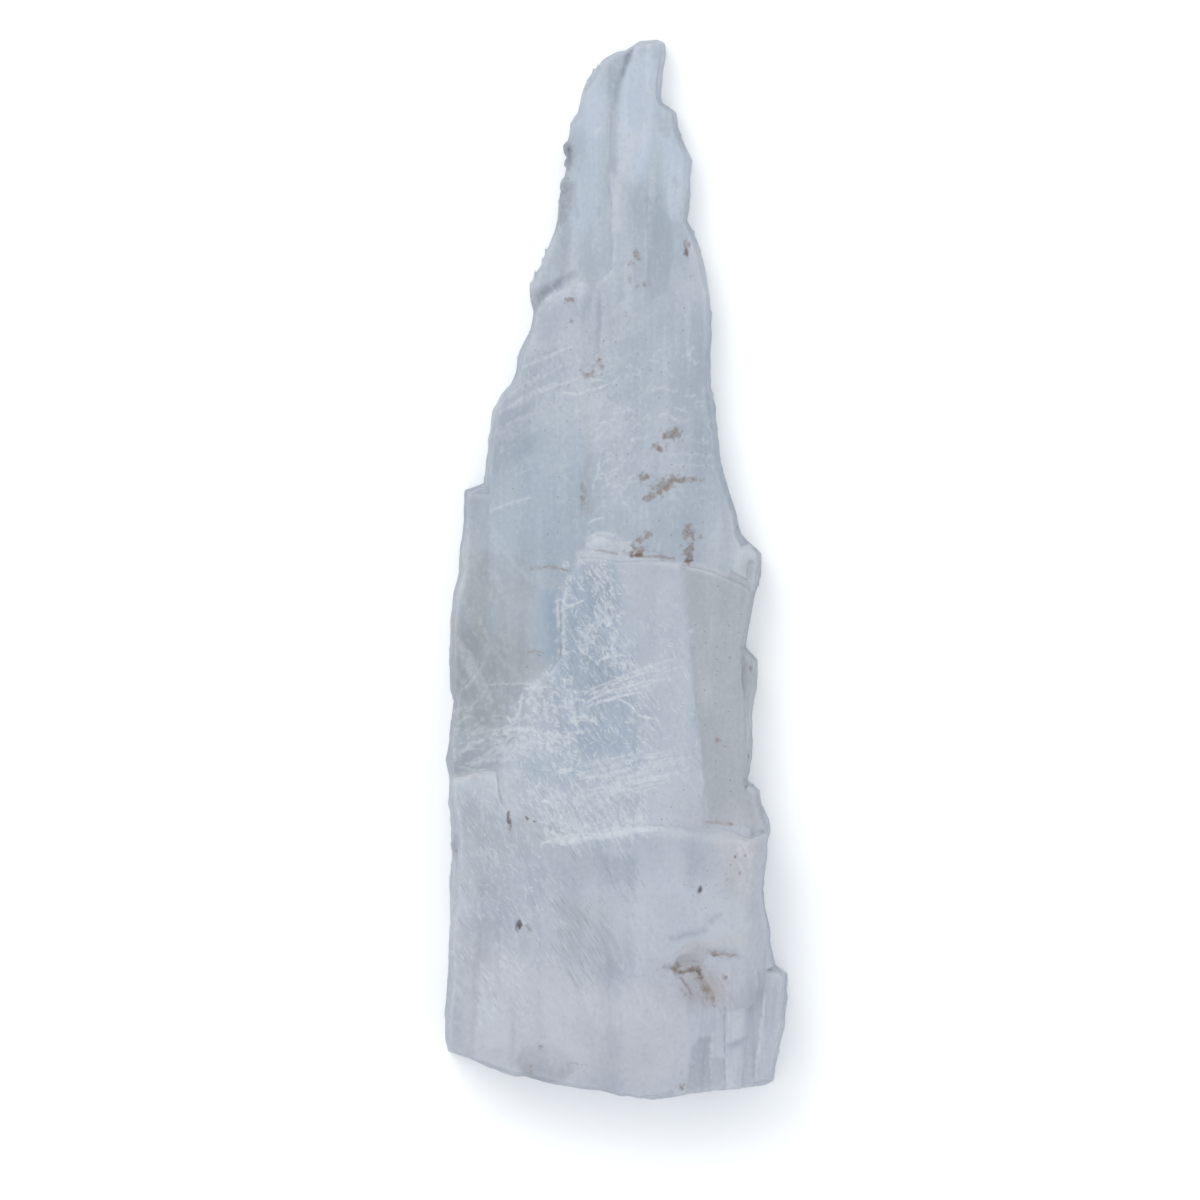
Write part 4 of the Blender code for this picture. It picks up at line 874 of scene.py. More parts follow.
@dataclass
class Splinters:
    """Blade-like crystals that grow on the slab's walls and feathered faces."""

    sides: int = 6
    rings: int = 4
    smallest: float = 0.45          # of the full size
    most_endways: float = 0.6       # faces that look along the slab further than this stay bare

    def tree(self) -> bpy.types.NodeTree:
        """Build the tree that sows blades on a surface and joins them to it.

        Returns:
            The Geometry Nodes tree.
        """
        tree = new_group("splinters", "GeometryNodeTree", {
            "Geometry": "NodeSocketGeometry", "Low Corner": (0.0, 0.0, 0.0),
            "High Corner": (1.0, 1.0, 1.0), "Least Slope": 0.0, "Most Slope": 1.0,
            "Density": 1000.0, "Heading": 0.0, "Stray": 0.1, "Size": (0.01, 0.002, 0.001),
            "Seed": 0, "Material": "NodeSocketMaterial",
        }, {"Geometry": "NodeSocketGeometry"})
        wiring = Wiring(tree)
        given = wiring.add("NodeGroupInput").outputs
        sown = wiring.add("GeometryNodeDistributePointsOnFaces", {
            "Mesh": given["Geometry"], "Density": given["Density"], "Seed": given["Seed"],
        })
        kept = wiring.add("GeometryNodeSeparateGeometry", {
            "Geometry": sown.outputs["Points"],
            "Selection": self.within(wiring, given, sown.outputs["Normal"]),
        }, domain="POINT")
        blade = wiring.add("GeometryNodeMeshUVSphere", {
            "Segments": self.sides, "Rings": self.rings, "Radius": 0.5,
        })
        placed = wiring.add("GeometryNodeInstanceOnPoints", {
            "Points": kept.outputs["Selection"], "Instance": blade.outputs["Mesh"],
            "Rotation": self.turned(wiring, given),
            "Scale": self.sized(wiring, given),
        })
        joined = wiring.add("GeometryNodeJoinGeometry")
        wiring.feed(joined.inputs[0], given["Geometry"])
        wiring.feed(joined.inputs[0], placed.outputs["Instances"])
        wiring.give_back(joined.outputs[0], given["Material"])
        return tree

    def within(self, wiring: Wiring, given: Sockets, normal: Socket) -> Socket:
        """Whether a point is inside the zone's box and on a face of the right slope.

        Args:
            wiring: the tree that the nodes go into.
            given: the tree's own inputs.
            normal: the face's normal.

        Returns:
            The product of every condition, 1 or 0.
        """
        place = wiring.add("GeometryNodeInputPosition").outputs[0]
        inside = []
        for end, operation in (("Low Corner", "GREATER_THAN"), ("High Corner", "LESS_THAN")):
            inside += [wiring.maths(operation, here, limit)
                       for here, limit in zip(wiring.axes(place), wiring.axes(given[end]))]
        facing = wiring.axes(normal)
        inside.append(wiring.maths("GREATER_THAN", facing["Z"], given["Least Slope"]))
        inside.append(wiring.maths("LESS_THAN", facing["Z"], given["Most Slope"]))
        endways = wiring.maths("ABSOLUTE", facing["Y"])
        inside.append(wiring.maths("LESS_THAN", endways, self.most_endways))
        return wiring.product(*inside)

    def turned(self, wiring: Wiring, given: Sockets) -> Socket:
        """The heading of each blade, with its own stray.

        Args:
            wiring: the tree that the nodes go into.
            given: the tree's own inputs.

        Returns:
            The turn about each axis, in radians.
        """
        least = wiring.maths("SUBTRACT", given["Heading"], given["Stray"])
        most = wiring.maths("ADD", given["Heading"], given["Stray"])
        inputs = {2: least, 3: most, "Seed": given["Seed"]}
        chosen = wiring.add("FunctionNodeRandomValue", inputs, data_type="FLOAT")
        return wiring.add("ShaderNodeCombineXYZ", {"Z": chosen.outputs[1]}).outputs[0]

    def sized(self, wiring: Wiring, given: Sockets) -> Socket:
        """The size of each blade, between the smallest and the full size.

        Args:
            wiring: the tree that the nodes go into.
            given: the tree's own inputs.

        Returns:
            The size along each axis.
        """
        inputs = {0: (self.smallest,) * 3, 1: (1.0, 1.0, 1.0), "Seed": given["Seed"]}
        chosen = wiring.add("FunctionNodeRandomValue", inputs, data_type="FLOAT_VECTOR")
        return wiring.vector("MULTIPLY", chosen.outputs[0], given["Size"])

    def sow(self, thing: bpy.types.Object, material: bpy.types.Material) -> None:
        """Put every kind of splinter on an object, as live modifiers.

        Args:
            thing: the slab's merged solid.
            material: the finish of the blades.
        """
        tree = self.tree()
        for kind in SOWINGS:
            add_tree(thing, tree, {
                "Low Corner": tuple(value * MM for value in kind.low),
                "High Corner": tuple(value * MM for value in kind.high),
                "Least Slope": kind.slope[0], "Most Slope": kind.slope[1],
                "Density": kind.per_square_cm / (10 * MM) ** 2,
                "Heading": math.radians(kind.heading), "Stray": math.radians(kind.stray),
                "Size": (kind.length * MM, kind.width * MM, kind.height * MM),
                "Seed": kind.seed, "Material": material,
            })
            LOG.info("sown: %s", kind.name)


@dataclass
class Relief:
    """The fine relief of the fused skin, as heights in mm."""

    undulation: float = 0.30
    striation: float = 0.04
    lamination: float = 0.55
    crumbling: float = 0.45
    grain: float = 0.04
    lines: float = 1.0              # how much of the strokes' own rise is used
    bed: float = 0.6                # nothing moves lower than this above the ground

    def tree(self) -> bpy.types.NodeTree:
        """Build the tree that moves the skin along its normals.

        Returns:
            The Geometry Nodes tree.
        """
        tree = new_group("relief", "GeometryNodeTree", {
            "Geometry": "NodeSocketGeometry", "Undulation": 0.0, "Striation": 0.0,
            "Lamination": 0.0, "Crumbling": 0.0, "Grain": 0.0, "Lines": 1.0, "Bed": 0.0,
            "Material": "NodeSocketMaterial",
        }, {"Geometry": "NodeSocketGeometry"})
        wiring = Wiring(tree)
        given = wiring.add("NodeGroupInput").outputs
        lines = wiring.add("GeometryNodeInputNamedAttribute", {"Name": LINE_RELIEF},
                           data_type="FLOAT").outputs[0]
        position = wiring.add("GeometryNodeInputPosition").outputs[0]
        place = wiring.vector("SCALE", position, 1.0 / MM)
        normal = wiring.add("GeometryNodeInputNormal").outputs[0]
        upward = wiring.axes(normal)["Z"]
        wall = wiring.step(wiring.maths("ABSOLUTE", upward), 0.85, 0.4)
        flat = wiring.maths("SUBTRACT", 1.0, wall)
        layers = (
            ("Undulation", (26.0, 40.0, 30.0), 2.0, flat),
            ("Striation", (1.7, 45.0, 9.0), 1.0, flat),
            ("Lamination", (16.0, 16.0, 1.1), 1.0, wall),
            ("Crumbling", (3.0, 5.0, 2.2), 2.0, wall),
            ("Grain", (1.3, 1.9, 1.3), 1.0, 1.0),
        )
        parts = [wiring.product(lines, given["Lines"])]
        for name, sizes, detail, where in layers:
            swing = wiring.noise(place, sizes, detail)
            centred = wiring.maths("SUBTRACT", swing, 0.5)
            parts.append(wiring.product(centred, 2.0, given[name], where))
        height = wiring.axes(place)["Z"]
        free = wiring.step(height, wiring.product(given["Bed"], 0.5),
                           wiring.product(given["Bed"], 2.0))
        rise = wiring.product(wiring.total(*parts), free, MM)
        moved = wiring.add("GeometryNodeSetPosition", {
            "Geometry": given["Geometry"],
            "Offset": wiring.vector("SCALE", normal, rise),
        })
        wiring.give_back(moved.outputs[0], given["Material"])
        return tree

    def carve(self, thing: bpy.types.Object, material: bpy.types.Material) -> None:
        """Put the relief on an object, as a live modifier.

        Args:
            thing: the object.
            material: what it is made of.
        """
        add_tree(thing, self.tree(), {
            "Undulation": self.undulation, "Striation": self.striation,
            "Lamination": self.lamination, "Crumbling": self.crumbling,
            "Grain": self.grain, "Lines": self.lines, "Bed": self.bed,
            "Material": material,
        })


class Ground:
    """A mesh's points, as the brush sees them.

    Args:
        mesh: the mesh, in metres.
    """

    WANDER = ((9.0, 1.1), (2.6, 0.45))      # noise size and sway of an area's edge, in mm
    SHAKE = ((4.0, 0.35), (1.5, 0.12))      # the same for a line
    FACING = 2.0            # times the upward share of the normal: how soon marks come in
    SWAY_SEED = 17          # for the noise that leads points astray

    def __init__(self, mesh: bpy.types.Mesh) -> None:
        """Read the mesh's points and normals, in mm.

        Args:
            mesh: the mesh, in metres.
        """
        self.mesh = mesh
        self.count = len(mesh.vertices)
        self.places = self.read("co") / MM
        self.normals = self.read("normal")
        self.order = np.argsort(self.places[:, 0])
        self.sorted_x = self.places[self.order, 0]
        self.shaky = self.places[:, :2]

    def read(self, name: str) -> np.ndarray:
        """A vector property of every vertex, one row each.

        Args:
            name: the property's name.

        Returns:
            The rows.
        """
        values = np.zeros(self.count * 3, np.float32)
        self.mesh.vertices.foreach_get(name, values)
        return values.reshape(-1, 3).astype(float)

    def upward(self) -> np.ndarray:
        """How much each point faces up, from 0 to 1."""
        return smooth_step(self.normals[:, 2] * self.FACING)

    def swayed(self, sways: Sequence[Point]) -> np.ndarray:
        """Each point seen from above, led a little astray, so that edges come out rough.

        Args:
            sways: how large each noise is and how far it leads, in mm.

        Returns:
            One row of X and Y for each point, in mm.
        """
        noise.seed_set(self.SWAY_SEED)
        moved = self.places[:, :2].copy()
        for size, amount in sways:
            rows = [noise.noise_vector(Vector(place) / size) for place in self.places]
            moved += amount * np.array(rows)[:, :2]
        return moved

    def shake(self) -> None:
        """Lead the places that lines are drawn by a little astray."""
        self.shaky = self.swayed(self.SHAKE)

    def near(self, low: Point, high: Point) -> np.ndarray:
        """The numbers of the points inside a box seen from above, in mm.

        Args:
            low: the corner with the least X and Y.
            high: the opposite corner.

        Returns:
            The points' numbers, in no order.
        """
        first, last = np.searchsorted(self.sorted_x, (low[0], high[0]))
        chosen = self.order[first:last]
        y = self.places[chosen, 1]
        return chosen[(y > low[1]) & (y < high[1])]

    def blot(self, spot: Spot) -> np.ndarray:
        """How deep inside a blot each point is: 1 at its centre, 0.5 at its rim.

        Args:
            spot: the blot.

        Returns:
            A value for each point, times the blot's own amount.
        """
        angle = math.radians(spot.turn)
        x, y = (self.places[:, :2] - spot.centre).T
        along = (x * math.cos(angle) + y * math.sin(angle)) / spot.radii[0]
        across = (y * math.cos(angle) - x * math.sin(angle)) / spot.radii[1]
        return spot.amount * np.clip(1.0 - 0.42 * np.hypot(along, across), 0.0, 1.0)

    def draw(self, line: Line, canvas: np.ndarray) -> None:
        """Draw a tapering bowed line on a canvas that holds one value for each point.

        Args:
            line: the line, in mm.
            canvas: the values, of which each is raised to the line's own or left.
        """
        start, run = np.array(line.start), np.subtract(line.end, line.start)
        side = np.array((-run[1], run[0])) / np.hypot(*run) * line.bow
        margin = line.width + abs(line.bow)
        corners = np.array((line.start, line.end))
        chosen = self.near(corners.min(axis=0) - margin, corners.max(axis=0) + margin)
        if not chosen.size:
            return
        away = self.shaky[chosen] - start
        share = np.clip(away @ run / (run @ run), 0.0, 1.0)
        arch = 4.0 * share * (1.0 - share)
        apart = np.hypot(*(away - share[:, None] * run - arch[:, None] * side).T)
        half = line.width * (0.3 + 0.5 * arch)
        cover = line.amount * smooth_step((half * 1.4 - apart) / half)
        canvas[chosen] = np.maximum(canvas[chosen], cover)

    def spread(self, values: np.ndarray, rounds: int,
               chosen: Optional[np.ndarray] = None) -> np.ndarray:
        """Values averaged with those of their neighbours, so many times over.

        Args:
            values: a value for each point.
            rounds: how many times.
            chosen: which points take part, or None for all of them.

        Returns:
            The new values, with those of the points that take no part as they were.
        """
        if chosen is None:
            chosen = np.ones(self.count, bool)
        pairs = np.zeros(len(self.mesh.edges) * 2, np.int32)
        self.mesh.edges.foreach_get("vertices", pairs)
        pairs = pairs.reshape(-1, 2)
        pairs = pairs[chosen[pairs].all(axis=1)]
        first, second = (np.cumsum(chosen) - 1)[pairs].T
        some = values[chosen]
        counts = np.bincount(first, minlength=len(some)) + 1.0
        counts += np.bincount(second, minlength=len(some))
        for _ in range(rounds):
            total = some + np.bincount(first, some[second], len(some))
            total += np.bincount(second, some[first], len(some))
            some = total / counts
        result = values.copy()
        result[chosen] = some
        return result

    def bulge(self) -> np.ndarray:
        """How much each point stands out from its surroundings, in mm."""
        smoothed = np.stack([self.spread(axis, 3) for axis in self.places.T], axis=1)
        return self.spread(((self.places - smoothed) * self.normals).sum(axis=1), 1)

    def store(self, chart: Chart, channels: Sequence[np.ndarray]) -> None:
        """Write three channels to one of the mesh's colour maps.

        Args:
            chart: which map.
            channels: red, green and blue, a value for each point.
        """
        layer = self.mesh.color_attributes.new(chart.value, "FLOAT_COLOR", "POINT")
        rows = np.stack([*channels, np.ones(self.count)], axis=1)
        layer.data.foreach_set("color", rows.astype(np.float32).ravel())


def smooth_step(values: np.ndarray) -> np.ndarray:
    """Values from 0 to 1, eased at both ends."""
    values = np.clip(values, 0.0, 1.0)
    return values * values * (3.0 - 2.0 * values)


def depth_inside(places: np.ndarray, outline: Outline) -> np.ndarray:
    """How deep inside an outline each place is.

    Args:
        places: one row of X and Y for each place, in mm.
        outline: the outline's corners, in mm.

    Returns:
        The distance to the outline, less than 0 outside it.
    """
    x, y = places.T
    nearest = np.full(len(places), np.inf)
    within = np.zeros(len(places), bool)
    for (ax, ay), (bx, by) in zip(outline, outline[1:] + outline[:1]):
        run_x, run_y = bx - ax, by - ay
        share = ((x - ax) * run_x + (y - ay) * run_y) / (run_x ** 2 + run_y ** 2)
        share = np.clip(share, 0.0, 1.0)
        away = np.hypot(x - ax - share * run_x, y - ay - share * run_y)
        nearest = np.minimum(nearest, away)
        if ay != by:
            crossing = ax + (y - ay) * run_x / run_y
            within ^= ((ay > y) != (by > y)) & (x < crossing)
    return np.where(within, nearest, -nearest)


def dusted(places: np.ndarray, areas: Sequence[Dusting]) -> np.ndarray:
    """How much of any of the areas covers each place, from 0 to 1.

    Args:
        places: one row of X and Y for each place, in mm.
        areas: the areas.

    Returns:
        The cover of each place.
    """
    covers = [area.amount * smooth_step(depth_inside(places, area.outline) / area.soft + 0.5)
              for area in areas]
    return np.max(covers, axis=0)


@dataclass(frozen=True)
class Weathering:
    """Levels the steps of the worn areas to gentle slopes, by moving points up or down."""

    rounds: int = 80
    lowest: float = 5.0             # mm over the ground; nothing lower is moved
    blend: float = 3.0              # mm over which the levelling comes in
    everywhere: int = 4             # rounds of a slight levelling of the whole skin
    gentle: int = 500               # more rounds where no step is left at all

    def level(self, mesh: bpy.types.Mesh) -> None:
        """Level a dense mesh in place.

        Args:
            mesh: the mesh, in metres.
        """
        ground = Ground(mesh)
        height = ground.spread(ground.places[:, 2], self.everywhere)
        cover = dusted(ground.places[:, :2], WORN)
        above = smooth_step((ground.places[:, 2] - self.lowest) / self.blend)
        level = ground.spread(height, self.rounds, cover * above > 0)
        gone = dusted(ground.places[:, :2], LEVELLED)
        level += gone * (ground.spread(level, self.gentle, gone > 0) - level)
        start = ground.places[:, 2]
        ground.places[:, 2] = start + above * (height + cover * (level - height) - start)
        mesh.vertices.foreach_set("co", (ground.places * MM).astype(np.float32).ravel())
        mesh.update()


@dataclass
class Painter:
    """Draws the fine lines, and paints the colour maps that the finish reads."""

    seed: int = 17
    tuft_size: float = 5.0                  # mm across a tuft of strokes
    upper_side: Point = (0.6, 1.6)          # mm over the ground where areas come in
    line_rise: float = 0.07                 # mm that a single bright line stands up
    least_bulge: float = 0.03               # mm that an edge stands out, or a crease lies in
    bulge_blend: float = 0.16               # mm over which edges and creases come in
    wall_slope: float = 0.35                # upward share of the normal where walls fade out
    wall_blend: float = 0.5                 # and the share over which they do

    def strokes(self, kind: Strokes, dice: Random) -> list[Line]:
        """The lines of one field, drawn at random inside its outline.

        Args:
            kind: the field.
            dice: the source of chance.

        Returns:
            The lines.
        """
        xs, ys = zip(*kind.outline)
        lines = []
        while len(lines) < kind.count:
            spot = (dice.uniform(min(xs), max(xs)), dice.uniform(min(ys), max(ys)))
            tuft = noise.noise(Vector((*spot, kind.heading)) / self.tuft_size)
            wanted = dice.random() > kind.cluster * (0.55 - 1.4 * tuft)
            if not wanted or depth_inside(np.array([spot]), kind.outline)[0] < 0:
                continue
            heading = math.radians(kind.heading + dice.gauss(0, kind.stray / 2))
            length = dice.uniform(*kind.length)
            end = (spot[0] + length * math.cos(heading), spot[1] + length * math.sin(heading))
            lines.append(Line(spot, end, dice.uniform(*kind.width), dice.uniform(*kind.bow),
                              kind.amount * dice.uniform(0.5, 1.0)))
        return lines

    def draw_marks(self, ground: Ground) -> tuple[np.ndarray, np.ndarray]:
        """Draw every line on a mesh.

        Args:
            ground: the mesh's points.

        Returns:
            The three channels of marks, and the height of the lines in mm.
        """
        ground.shake()
        marks = np.zeros((len(Mark), ground.count))
        heights = np.zeros(ground.count)
        dice = Random(self.seed)
        fields = [(kind.mark, kind.rise, self.strokes(kind, dice)) for kind in STROKE_FIELDS]
        fields += [(Mark.BRIGHT, self.line_rise, BRIGHT_LINES),
                   (Mark.DARK, -self.line_rise, DARK_LINES),
                   (Mark.BROWN, -self.line_rise, BROWN_LINES)]
        for mark, rise, lines in fields:
            drawn = np.zeros(ground.count)
            for line in lines:
                ground.draw(line, drawn)
            heights += rise * drawn
            np.maximum(marks[mark.value], drawn, out=marks[mark.value])
        upward = ground.upward()
        return marks * upward, heights * upward

    def engrave(self, mesh: bpy.types.Mesh) -> None:
        """Give a mesh the height of its lines, for the relief to read.

        Args:
            mesh: the mesh.
        """
        heights = self.draw_marks(Ground(mesh))[1]
        layer = mesh.attributes.new(LINE_RELIEF, "FLOAT", "POINT")
        layer.data.foreach_set("value", heights.astype(np.float32))

    def tones(self, ground: Ground, places: np.ndarray) -> None:
        """The stone's own colour: one tint, with the areas over it in order.

        Args:
            ground: the mesh's points.
            places: where each point seems to lie, in mm.
        """
        top = smooth_step((ground.places[:, 2] - self.upper_side[0]) / self.upper_side[1])
        colour = np.tile(Tint.ICE.linear[:3], (ground.count, 1))
        still = ground.places[:, :2]
        for patch in TONES:
            seen = still + patch.rough * (places - still)
            inside = smooth_step(depth_inside(seen, patch.outline) / patch.soft + 0.5)
            cover = top * patch.amount * inside
            colour += cover[:, None] * (np.array(patch.tint.linear[:3]) - colour)
        ground.store(Chart.TONE, colour.T)

    def dirt(self, ground: Ground, places: np.ndarray) -> None:
        """Where stains, mud and specks show.

        Args:
            ground: the mesh's points.
            places: where each point seems to lie, in mm.
        """
        stain, mud = (np.max([ground.blot(spot) for spot in spots], axis=0)
                      for spots in (STAINS, MUDS))
        specks = dusted(places, SPECKLED)
        ground.store(Chart.DIRT, np.array((stain, mud, specks)) * ground.upward())

    def flakes(self, ground: Ground, places: np.ndarray) -> None:
        """Where short bright flecks lie."""
        cover = dusted(places, FEATHERED) * ground.upward()
        ground.store(Chart.FLAKES, (cover, cover, cover))

    def fibre(self, ground: Ground, places: np.ndarray) -> None:
        """Where hair-fine threads run, aslant and lengthwise, and where dark hairs run.

        Args:
            ground: the mesh's points.
            places: where each point seems to lie, in mm.
        """
        upward = ground.upward()
        zones = [dusted(places, areas) * upward for areas in (ASLANT, LENGTHWISE, HATCHED)]
        ground.store(Chart.FIBRE, zones)

    def wear_and_shade(self, ground: Ground) -> None:
        """Bright worn edges, creases that take painted shade, and the walls between them, which
        take painted light.

        Args:
            ground: the mesh's points.
        """
        bulge = ground.bulge()
        slope = np.abs(ground.normals[:, 2]) - self.wall_slope
        walls = 1.0 - smooth_step(slope / self.wall_blend)
        edges, creases = (smooth_step((height - self.least_bulge) / self.bulge_blend)
                          for height in (bulge, -bulge))
        # the creases are kept for painted shade, the walls for painted light
        ground.store(Chart.WEAR_AND_SHADE, (edges, creases, ground.spread(walls, 2)))

    def paint(self, mesh: bpy.types.Mesh) -> None:
        """Paint every map on the finished mesh.

        Args:
            mesh: the mesh.
        """
        ground = Ground(mesh)
        places = ground.swayed(ground.WANDER)
        self.tones(ground, places)
        ground.store(Chart.MARKS, self.draw_marks(ground)[0])
        for brush in (self.dirt, self.fibre, self.flakes):
            brush(ground, places)
        self.wear_and_shade(ground)


@dataclass
class Slab:
    """The slab's finished piece."""

    weld: float = 0.01              # mm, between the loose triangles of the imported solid
    voxel: float = 0.34             # mm, the size of the fused skin's faces
    most_faces: int = 190_000
    plain_weight: float = 0.2       # how readily a face off the underside is given up
    busy_weight: float = 0.03       # and how readily one with many fine lines
    crease: float = 40.0            # degrees, past which an edge stays sharp
    splinters: Splinters = field(default_factory=Splinters)
    weathering: Weathering = field(default_factory=Weathering)
    relief: Relief = field(default_factory=Relief)
    painter: Painter = field(default_factory=Painter)

    def merged(self) -> bpy.types.Object:
        """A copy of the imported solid, with its triangles joined.

        Returns:
            The new object.
        """
        shape = bmesh.new()
        shape.from_mesh(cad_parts[NODE].data)
        bmesh.ops.remove_doubles(shape, verts=shape.verts, dist=self.weld * MM)
        mesh = bpy.data.meshes.new("selenite")
        shape.to_mesh(mesh)
        shape.free()
        return shown(mesh, "selenite")

    def fused(self, material: bpy.types.Material) -> bpy.types.Object:
        """The solid with its splinters, as one closed skin of small square faces.

        Args:
            material: the finish.

        Returns:
            The new object.
        """
        thing = self.merged()
        self.splinters.sow(thing, material)
        skin = thing.modifiers.new("fuse", "REMESH")
        skin.mode = "VOXEL"
        skin.voxel_size = self.voxel * MM
        thing = applied(thing)
        LOG.info("fused skin: %d faces", len(thing.data.polygons))
        return thing

    def thinned(self, thing: bpy.types.Object) -> bpy.types.Object:
        """The same skin in fewer triangles: the underside goes first, the feathers last.

        Args:
            thing: the object, which is removed.

        Returns:
            The new object.
        """
        ground = Ground(thing.data)
        busy = dusted(ground.places[:, :2], BUSY) > 0.5
        down = ground.normals[:, 2] < -0.9
        group = thing.vertex_groups.new(name="give up")
        for chosen, weight in ((~busy, self.plain_weight), (busy, self.busy_weight),
                               (down, 1.0)):
            group.add(np.nonzero(chosen)[0].tolist(), weight, "REPLACE")
        thinner = thing.modifiers.new("thin", "DECIMATE")
        triangles = len(thing.data.polygons) * 2
        thinner.ratio = min(1.0, self.most_faces / triangles)
        thinner.vertex_group = group.name
        thinner.use_collapse_triangulate = True
        return applied(thing)

    def build(self, material: bpy.types.Material) -> bpy.types.Object:
        """Make the finished piece.

        Args:
            material: the slab's finish.

        Returns:
            The piece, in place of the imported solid.
        """
        thing = self.fused(material)
        self.weathering.level(thing.data)
        self.painter.engrave(thing.data)
        self.relief.carve(thing, material)
        thing = applied(thing)
        thing = self.thinned(thing)
        self.painter.paint(thing.data)
        thing.data.materials.clear()
        thing.data.materials.append(material)
        thing.data.shade_smooth()
        thing.data.set_sharp_from_angle(angle=math.radians(self.crease))
        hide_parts(NODE)
        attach(thing, BODY)
        LOG.info("piece %s: %d triangles", thing.name, len(thing.data.polygons))
        return thing


# ---- the finish -------------------------------------------------------------------------


def flecks_group() -> bpy.types.NodeTree:
    """The shader group that scatters small oval flecks, all drawn out one way.

    Returns:
        The group: a place in mm, the flecks' heading, spacing and size in, a mask out.
    """
    tree = new_group("flecks", "ShaderNodeTree", {
        "Place": (0.0, 0.0, 0.0), "Heading": 0.0, "Length": 4.0, "Width": 4.0,
        "Radius": 0.1, "Share": 0.6, "Zone": 1.0,
    }, {"Mask": "NodeSocketFloat"})
    wiring = Wiring(tree)
    given = wiring.add("NodeGroupInput").outputs
    turned = wiring.rotated(given["Place"], wiring.product(given["Heading"], -1.0))
    spacing = wiring.add("ShaderNodeCombineXYZ", {
        "X": given["Length"], "Y": given["Width"], "Z": 1.0,
    }).outputs[0]
    cells = wiring.add("ShaderNodeTexVoronoi", {
        "Vector": wiring.vector("DIVIDE", turned, spacing), "Scale": 1.0,
    }, feature="F1", voronoi_dimensions="2D")
    dice = wiring.channels(cells.outputs["Color"])
    radius = wiring.product(given["Radius"], wiring.maths("MULTIPLY_ADD", dice[0], 0.9, 0.3))
    chosen = wiring.maths("LESS_THAN", dice[1], wiring.product(given["Zone"], given["Share"]))
    mask = wiring.step(cells.outputs["Distance"], radius, wiring.product(radius, 0.4))
    wiring.add("NodeGroupOutput", {"Mask": wiring.product(mask, chosen)})
    return tree


@dataclass(frozen=True)
class Canvas:
    """What the layers of the finish share."""

    wiring: Wiring                  # of the material's tree
    place: Socket                   # on the piece, in mm
    mottle: Socket                  # a fine noise, which makes patterns uneven
    maps: dict[Chart, Socket]       # the piece's colour maps
    flecks: bpy.types.NodeTree      # the shader group that scatters flecks

    def channels(self, chart: Chart) -> Sockets:
        """The three channels of one of the piece's colour maps."""
        return self.wiring.channels(self.maps[chart])

    def laid(self, colour: Socket, tint: Tint, *amounts: Feed) -> Socket:
        """The colour with a tint over it, as strong as the product of the amounts."""
        return self.wiring.mix(self.wiring.product(*amounts), colour, tint.linear)


@dataclass(frozen=True)
class Flecks:
    """How one layer of flecks is scattered, in mm and degrees."""

    heading: float
    length: float           # the spacing along the flecks
    width: float            # and across them
    radius: float           # of the spacing
    share: float            # how many of the places hold a fleck

    def mask(self, canvas: Canvas, place: Socket, zone: Socket) -> Socket:
        """Scatter the flecks.

        Args:
            canvas: what the layers of the finish share.
            place: the place that they are drawn by, in mm.
            zone: how readily they show, from 0 to 1.

        Returns:
            The mask.
        """
        node = canvas.wiring.add("ShaderNodeGroup", node_tree=canvas.flecks)
        for name, value in {"Place": place, "Heading": math.radians(self.heading),
                            "Length": self.length, "Width": self.width,
                            "Radius": self.radius, "Share": self.share,
                            "Zone": zone}.items():
            canvas.wiring.feed(node.inputs[name], value)
        return node.outputs["Mask"]


